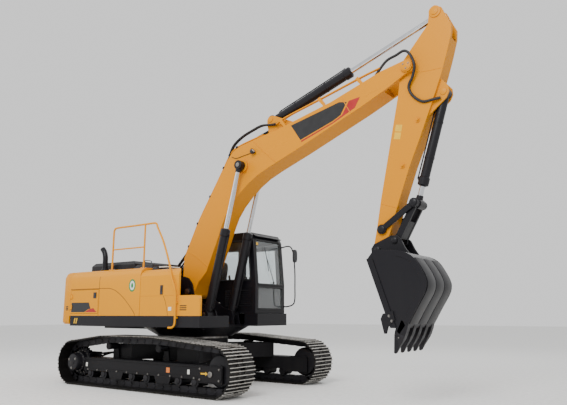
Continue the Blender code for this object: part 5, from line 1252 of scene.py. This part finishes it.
def cylinderPieces(tag, barrelBody, rodBody, base, pin, sizes, width, rodWidth, nodeNames, portSide):
    # tube, welded cap end with its eye, gland nut, rod and rod eye; lengths are from the base pin
    barrelRadius, rodRadius, barrelLength, restLength = sizes
    along = unit(pin - base)
    eye = barrelRadius * 1.12
    profile = [(eye * 0.55, 0.001), (eye * 0.55, barrelRadius * 0.80), (eye * 0.90, barrelRadius * 0.98),
               (eye * 1.25, barrelRadius), (barrelLength - 0.145, barrelRadius),
               (barrelLength - 0.143, barrelRadius + 0.004), (barrelLength - 0.132, barrelRadius + 0.0125),
               (barrelLength - 0.020, barrelRadius + 0.0125),
               (barrelLength - 0.012, barrelRadius + 0.006), (barrelLength - 0.002, barrelRadius * 0.80),
               (barrelLength, rodRadius + 0.012), (barrelLength + 0.006, rodRadius + 0.004),
               (barrelLength + 0.006, rodRadius + 0.0006)]
    ring = [(-width / 2, 0.048), (-width / 2, eye - 0.006), (-width / 2 + 0.005, eye), (width / 2 - 0.005, eye),
            (width / 2, eye - 0.006), (width / 2, 0.048)]
    across = np.array([along[2], 0.0, -along[0]]) * portSide
    ports = []
    for s in (eye * 1.9, barrelLength - 0.10):
        ports.append(lathe(base + along * s, across, [(barrelRadius - 0.004, 0.030), (barrelRadius + 0.018, 0.030),
                                                      (barrelRadius + 0.022, 0.024)], 20))
    line = [base + along * s + across * (barrelRadius + d) for s,
            d in ((eye * 1.9, 0.012), (eye * 1.9 + 0.015, 0.028), (eye * 1.9 + 0.07, 0.032))]
    line += [base + along * s + across * (barrelRadius + d) for s,
             d in ((barrelLength * 0.5, 0.030), (barrelLength - 0.17, 0.032), (barrelLength - 0.115, 0.040),
                   (barrelLength - 0.10, 0.018))]
    band = [lathe(base + along * s, along, [(0, barrelRadius + 0.001), (0.001, barrelRadius + 0.004),
                                            (0.035, barrelRadius + 0.004), (0.036, barrelRadius + 0.001)], 40)
            for s in (barrelLength * 0.30, barrelLength * 0.68)]
    make(f"{tag}_tube", [lathe(base, along, profile, 48), lathe(base, yAxis, ring, 40)] + ports + band, "barrel",
         barrelBody, 0.0, 30, replaces=(nodeNames[0],))
    make(f"{tag}_line", tube(line, 0.010, 12, 6), "satinBlack", barrelBody)
    rodLength = restLength - eye - 0.12
    rod = [(-rodLength, rodRadius), (-0.135, rodRadius), (-0.132, rodRadius + 0.012), (-0.06, rodRadius + 0.016),
           (-0.03, 0.001)]
    make(f"{tag}_piston_rod", lathe(pin, along, rod[:2], 48), "chrome", rodBody,
         replaces=(nodeNames[1],))
    half = rodWidth / 2
    ring = [(-half, 0.042), (-half, 0.079), (-half + 0.005, 0.085), (half - 0.005, 0.085), (half, 0.079),
            (half, 0.042)]
    make(f"{tag}_rod_eye", [lathe(pin, along, rod[1:], 40), lathe(pin, yAxis, ring, 40)], "barrel", rodBody,
         smoothAngle=30)
    pinEnds = [lathe(p + yAxis * o * w / 2, o * yAxis, [(-0.01, 0.041), (0.0035, 0.041), (0.005, 0.036),
                                                        (0.005, 0.0)], 32) for p,
                                                        w in ((pin, rodWidth),) for o in (-1, 1)]
    make(f"{tag}_eye_pin", pinEnds, "steel", rodBody)


def makeCylinders():
    def slideEnd(base, slide, length):
        return base + unit(np.array(joints[slide]["axis"])) * length
    for name, side in (("right", -1), ("left", 1)):
        base = pivot(f"boom_barrel_{name}_pivot")
        pin = slideEnd(base, f"boom_rod_{name}_slide", 2.7911)
        cylinderPieces(f"boom_cylinder_{name}", f"boom_barrel_{name}", f"boom_rod_{name}", base, pin,
                       (0.078, 0.042, 1.60, 1.88), 0.164, 0.12,
                       (f"boom_cylinder_{name}_barrel", f"boom_cylinder_{name}_rod"), 1)
    base = pivot("arm_barrel_pivot")
    cylinderPieces("arm_cylinder", "arm_barrel", "arm_rod", base, slideEnd(base, "arm_rod_slide", 3.39188),
                   (0.085, 0.048, 1.74, 1.92), 0.18, 0.156,
                   ("arm_cylinder_barrel", "arm_cylinder_rod"), -1)
    base = pivot("bucket_barrel_pivot")
    cylinderPieces("bucket_cylinder", "bucket_barrel", "bucket_rod", base,
                   slideEnd(base, "bucket_rod_slide", 1.75278), (0.072, 0.040, 1.47, 1.70), 0.15, 0.186,
                   ("bucket_cylinder_barrel", "bucket_cylinder_rod"), 1)
    print("cylinders fitted")


def makeLinkage():
    for name in ("rocker_right", "rocker_left", "bucket_link"):
        softened(name, "satinBlack", 0.005, 30, 2, clamp=False)
    caps = []
    for out in (-1, 1):
        for joint, body, y in (("rocker_pivot", "rocker", 0.200), ("bucket_link_pivot", "rocker", 0.200)):
            caps.append(lathe(pivot(joint) + yAxis * out * (y - 0.002), out * yAxis,
                              [(0, 0.052), (0.010, 0.052), (0.014, 0.044), (0.015, 0.0)], 32))
    make("rocker_pin_caps", caps, "barrel", "rocker")
    print("linkage dressed")


bucket = {
    "half": 0.51,
    "teeth": 5,
    "tooth": 0.095,
    "mouth": [(-0.04, -0.17), (0.31, -1.17)],
    "back": [(0.44, -0.06), (0.58, -0.10), (0.702, -0.181), (0.80, -0.328), (0.868, -0.472), (0.878, -0.57),
             (0.843, -0.68), (0.715, -0.886), (0.58, -1.11)],
}


def onBucket(x, z, y=0.0):
    return bucketPin + np.array([x, y, z])


def makeBucket():
    softened("bucket", "satinBlack", 0.005, 30, 2, clamp=False)
    half = bucket["half"]
    # side band and wear strips follow the shell's own outline
    outer = spline(bucket["back"], 6)
    inner = offsetLine(outer, -0.085)
    band, strips = [], []
    for out in (-1, 1):
        ringPoints = np.vstack([outer, inner[::-1]])
        band.append(prism([tuple(p) for p in ringPoints], onBucket, out * (half - 0.001), out * (half + 0.010)))
        lip = [(-0.045, -0.165), (0.305, -1.165), (0.40, -1.165), (0.055, -0.165)]
        band.append(prism(lip, onBucket, out * (half - 0.001), out * (half + 0.014)))
    make("bucket_side_bands", band, "satinBlack", "bucket", 0.002)
    wide = np.array([(-0.007, -0.158), (0.007, -0.158), (0.009, -0.152), (0.009, 0.152), (0.007, 0.158),
                     (-0.007, 0.158), (-0.009, 0.152), (-0.009, -0.152)])
    for y in (-0.333, 0.0, 0.333):
        line = np.array([onBucket(u, w, y) for u, w in spline(bucket["back"][2:], 6)])
        strips.append(sweep(line, wide))
    make("bucket_wear_plates", strips, "satinBlack", "bucket", 0.0)
    lip = [(0.40, -1.215), (0.475, -1.055), (0.50, -1.065), (0.535, -1.13), (0.44, -1.255)]
    make("bucket_cutting_edge", prism(lip, onBucket, -half, half), "tooth", "bucket", 0.003)
    # teeth: adapter blocks and tapered caps
    tips, adapters, pins = [], [], []
    wide = bucket["tooth"]
    down = unit(np.array([0.365 - 0.52, -1.50 + 1.08]))
    across = np.array([-down[1], down[0]])
    root = np.array([0.500, -1.10])
    for i in range(bucket["teeth"]):
        y = (half - wide / 2 - 0.004) * (i / 2 - 1)
        # sections along the tooth: distance, half thickness, half width
        for target, rows in ((adapters, ((-0.02, 0.075, 0.050), (0.05, 0.086, 0.050), (0.16, 0.082, 0.050),
                                         (0.19, 0.072, 0.044))),
                             (tips, ((0.165, 0.078, 0.053), (0.20, 0.076, 0.050), (0.26, 0.064, 0.036),
                                     (0.44, 0.016, 0.020), (0.450, 0.012, 0.017)))):
            points = []
            for s, thick, wideHalf in rows:
                centre = root + down * s
                a, b = centre + across * thick, centre - across * thick
                points += [onBucket(a[0], a[1], y - wideHalf), onBucket(a[0], a[1], y + wideHalf),
                           onBucket(b[0], b[1], y + wideHalf), onBucket(b[0], b[1], y - wideHalf)]
            count = len(rows)
            target.append((np.array(points), gridFaces(count, 4, False, True) + [[3, 2, 1, 0],
                    [count * 4 - 4, count * 4 - 3, count * 4 - 2, count * 4 - 1]]))
        centre = root + down * 0.215
        pins.append(lathe(onBucket(centre[0], centre[1], y - 0.054), yAxis, [(0, 0.010), (0.108, 0.010)], 12))
    make("tooth_adapters", adapters, "tooth", "bucket", 0.004)
    make("tooth_caps", tips, "tooth", "bucket", 0.004)
    make("tooth_pins", pins, "steel", "bucket")
    caps = []
    for out in (-1, 1):
        for place in (bucketPin, onBucket(0.285, 0.125)):
            caps.append(lathe(place + yAxis * out * 0.234, out * yAxis,
                              [(0, 0.042), (0.008, 0.042), (0.012, 0.035), (0.013, 0.0)], 28))
        bolt = [hexBolt(onBucket(x, z, out * (half + 0.024)), out * yAxis, 0.03, 0.016) for x,
                z in ((0.30, -1.00), (0.34, -1.07))]
        make(f"cutter_bolts_{'left' if out > 0 else 'right'}", bolt, "steel", "bucket",
             smoothAngle=20)
    make("bucket_pin_caps", caps, "barrel", "bucket")
    print("bucket dressed")


def makeFloor():
    mesh = bpy.data.meshes.new("floor")
    size = 60.0
    mesh.from_pydata([(-size, -size, -0.001), (size, -size, -0.001), (size, size, -0.001), (-size, size, -0.001)],
                     [], [(0, 1, 2, 3)])
    floor = bpy.data.objects.new("floor", mesh)
    bpy.context.scene.collection.objects.link(floor)
    mesh.materials.append(plain("matt_studio_floor", "#F1F1EF", 0.9, 0.0, 3.0, 0.0))


makeTracks()
makeDrives()
makeCarbody()
makeHousing()
makeTopAndTail()
makeRails()
makeDeck()
makeCab()
makeCabin()
makeBoom()
makeArm()
makeHoses()
makeCylinders()
makeLinkage()
makeBucket()
softened("engine", "trim", 0.02, 30, 3)
makeFloor()
setStudio()

print("pieces placed")
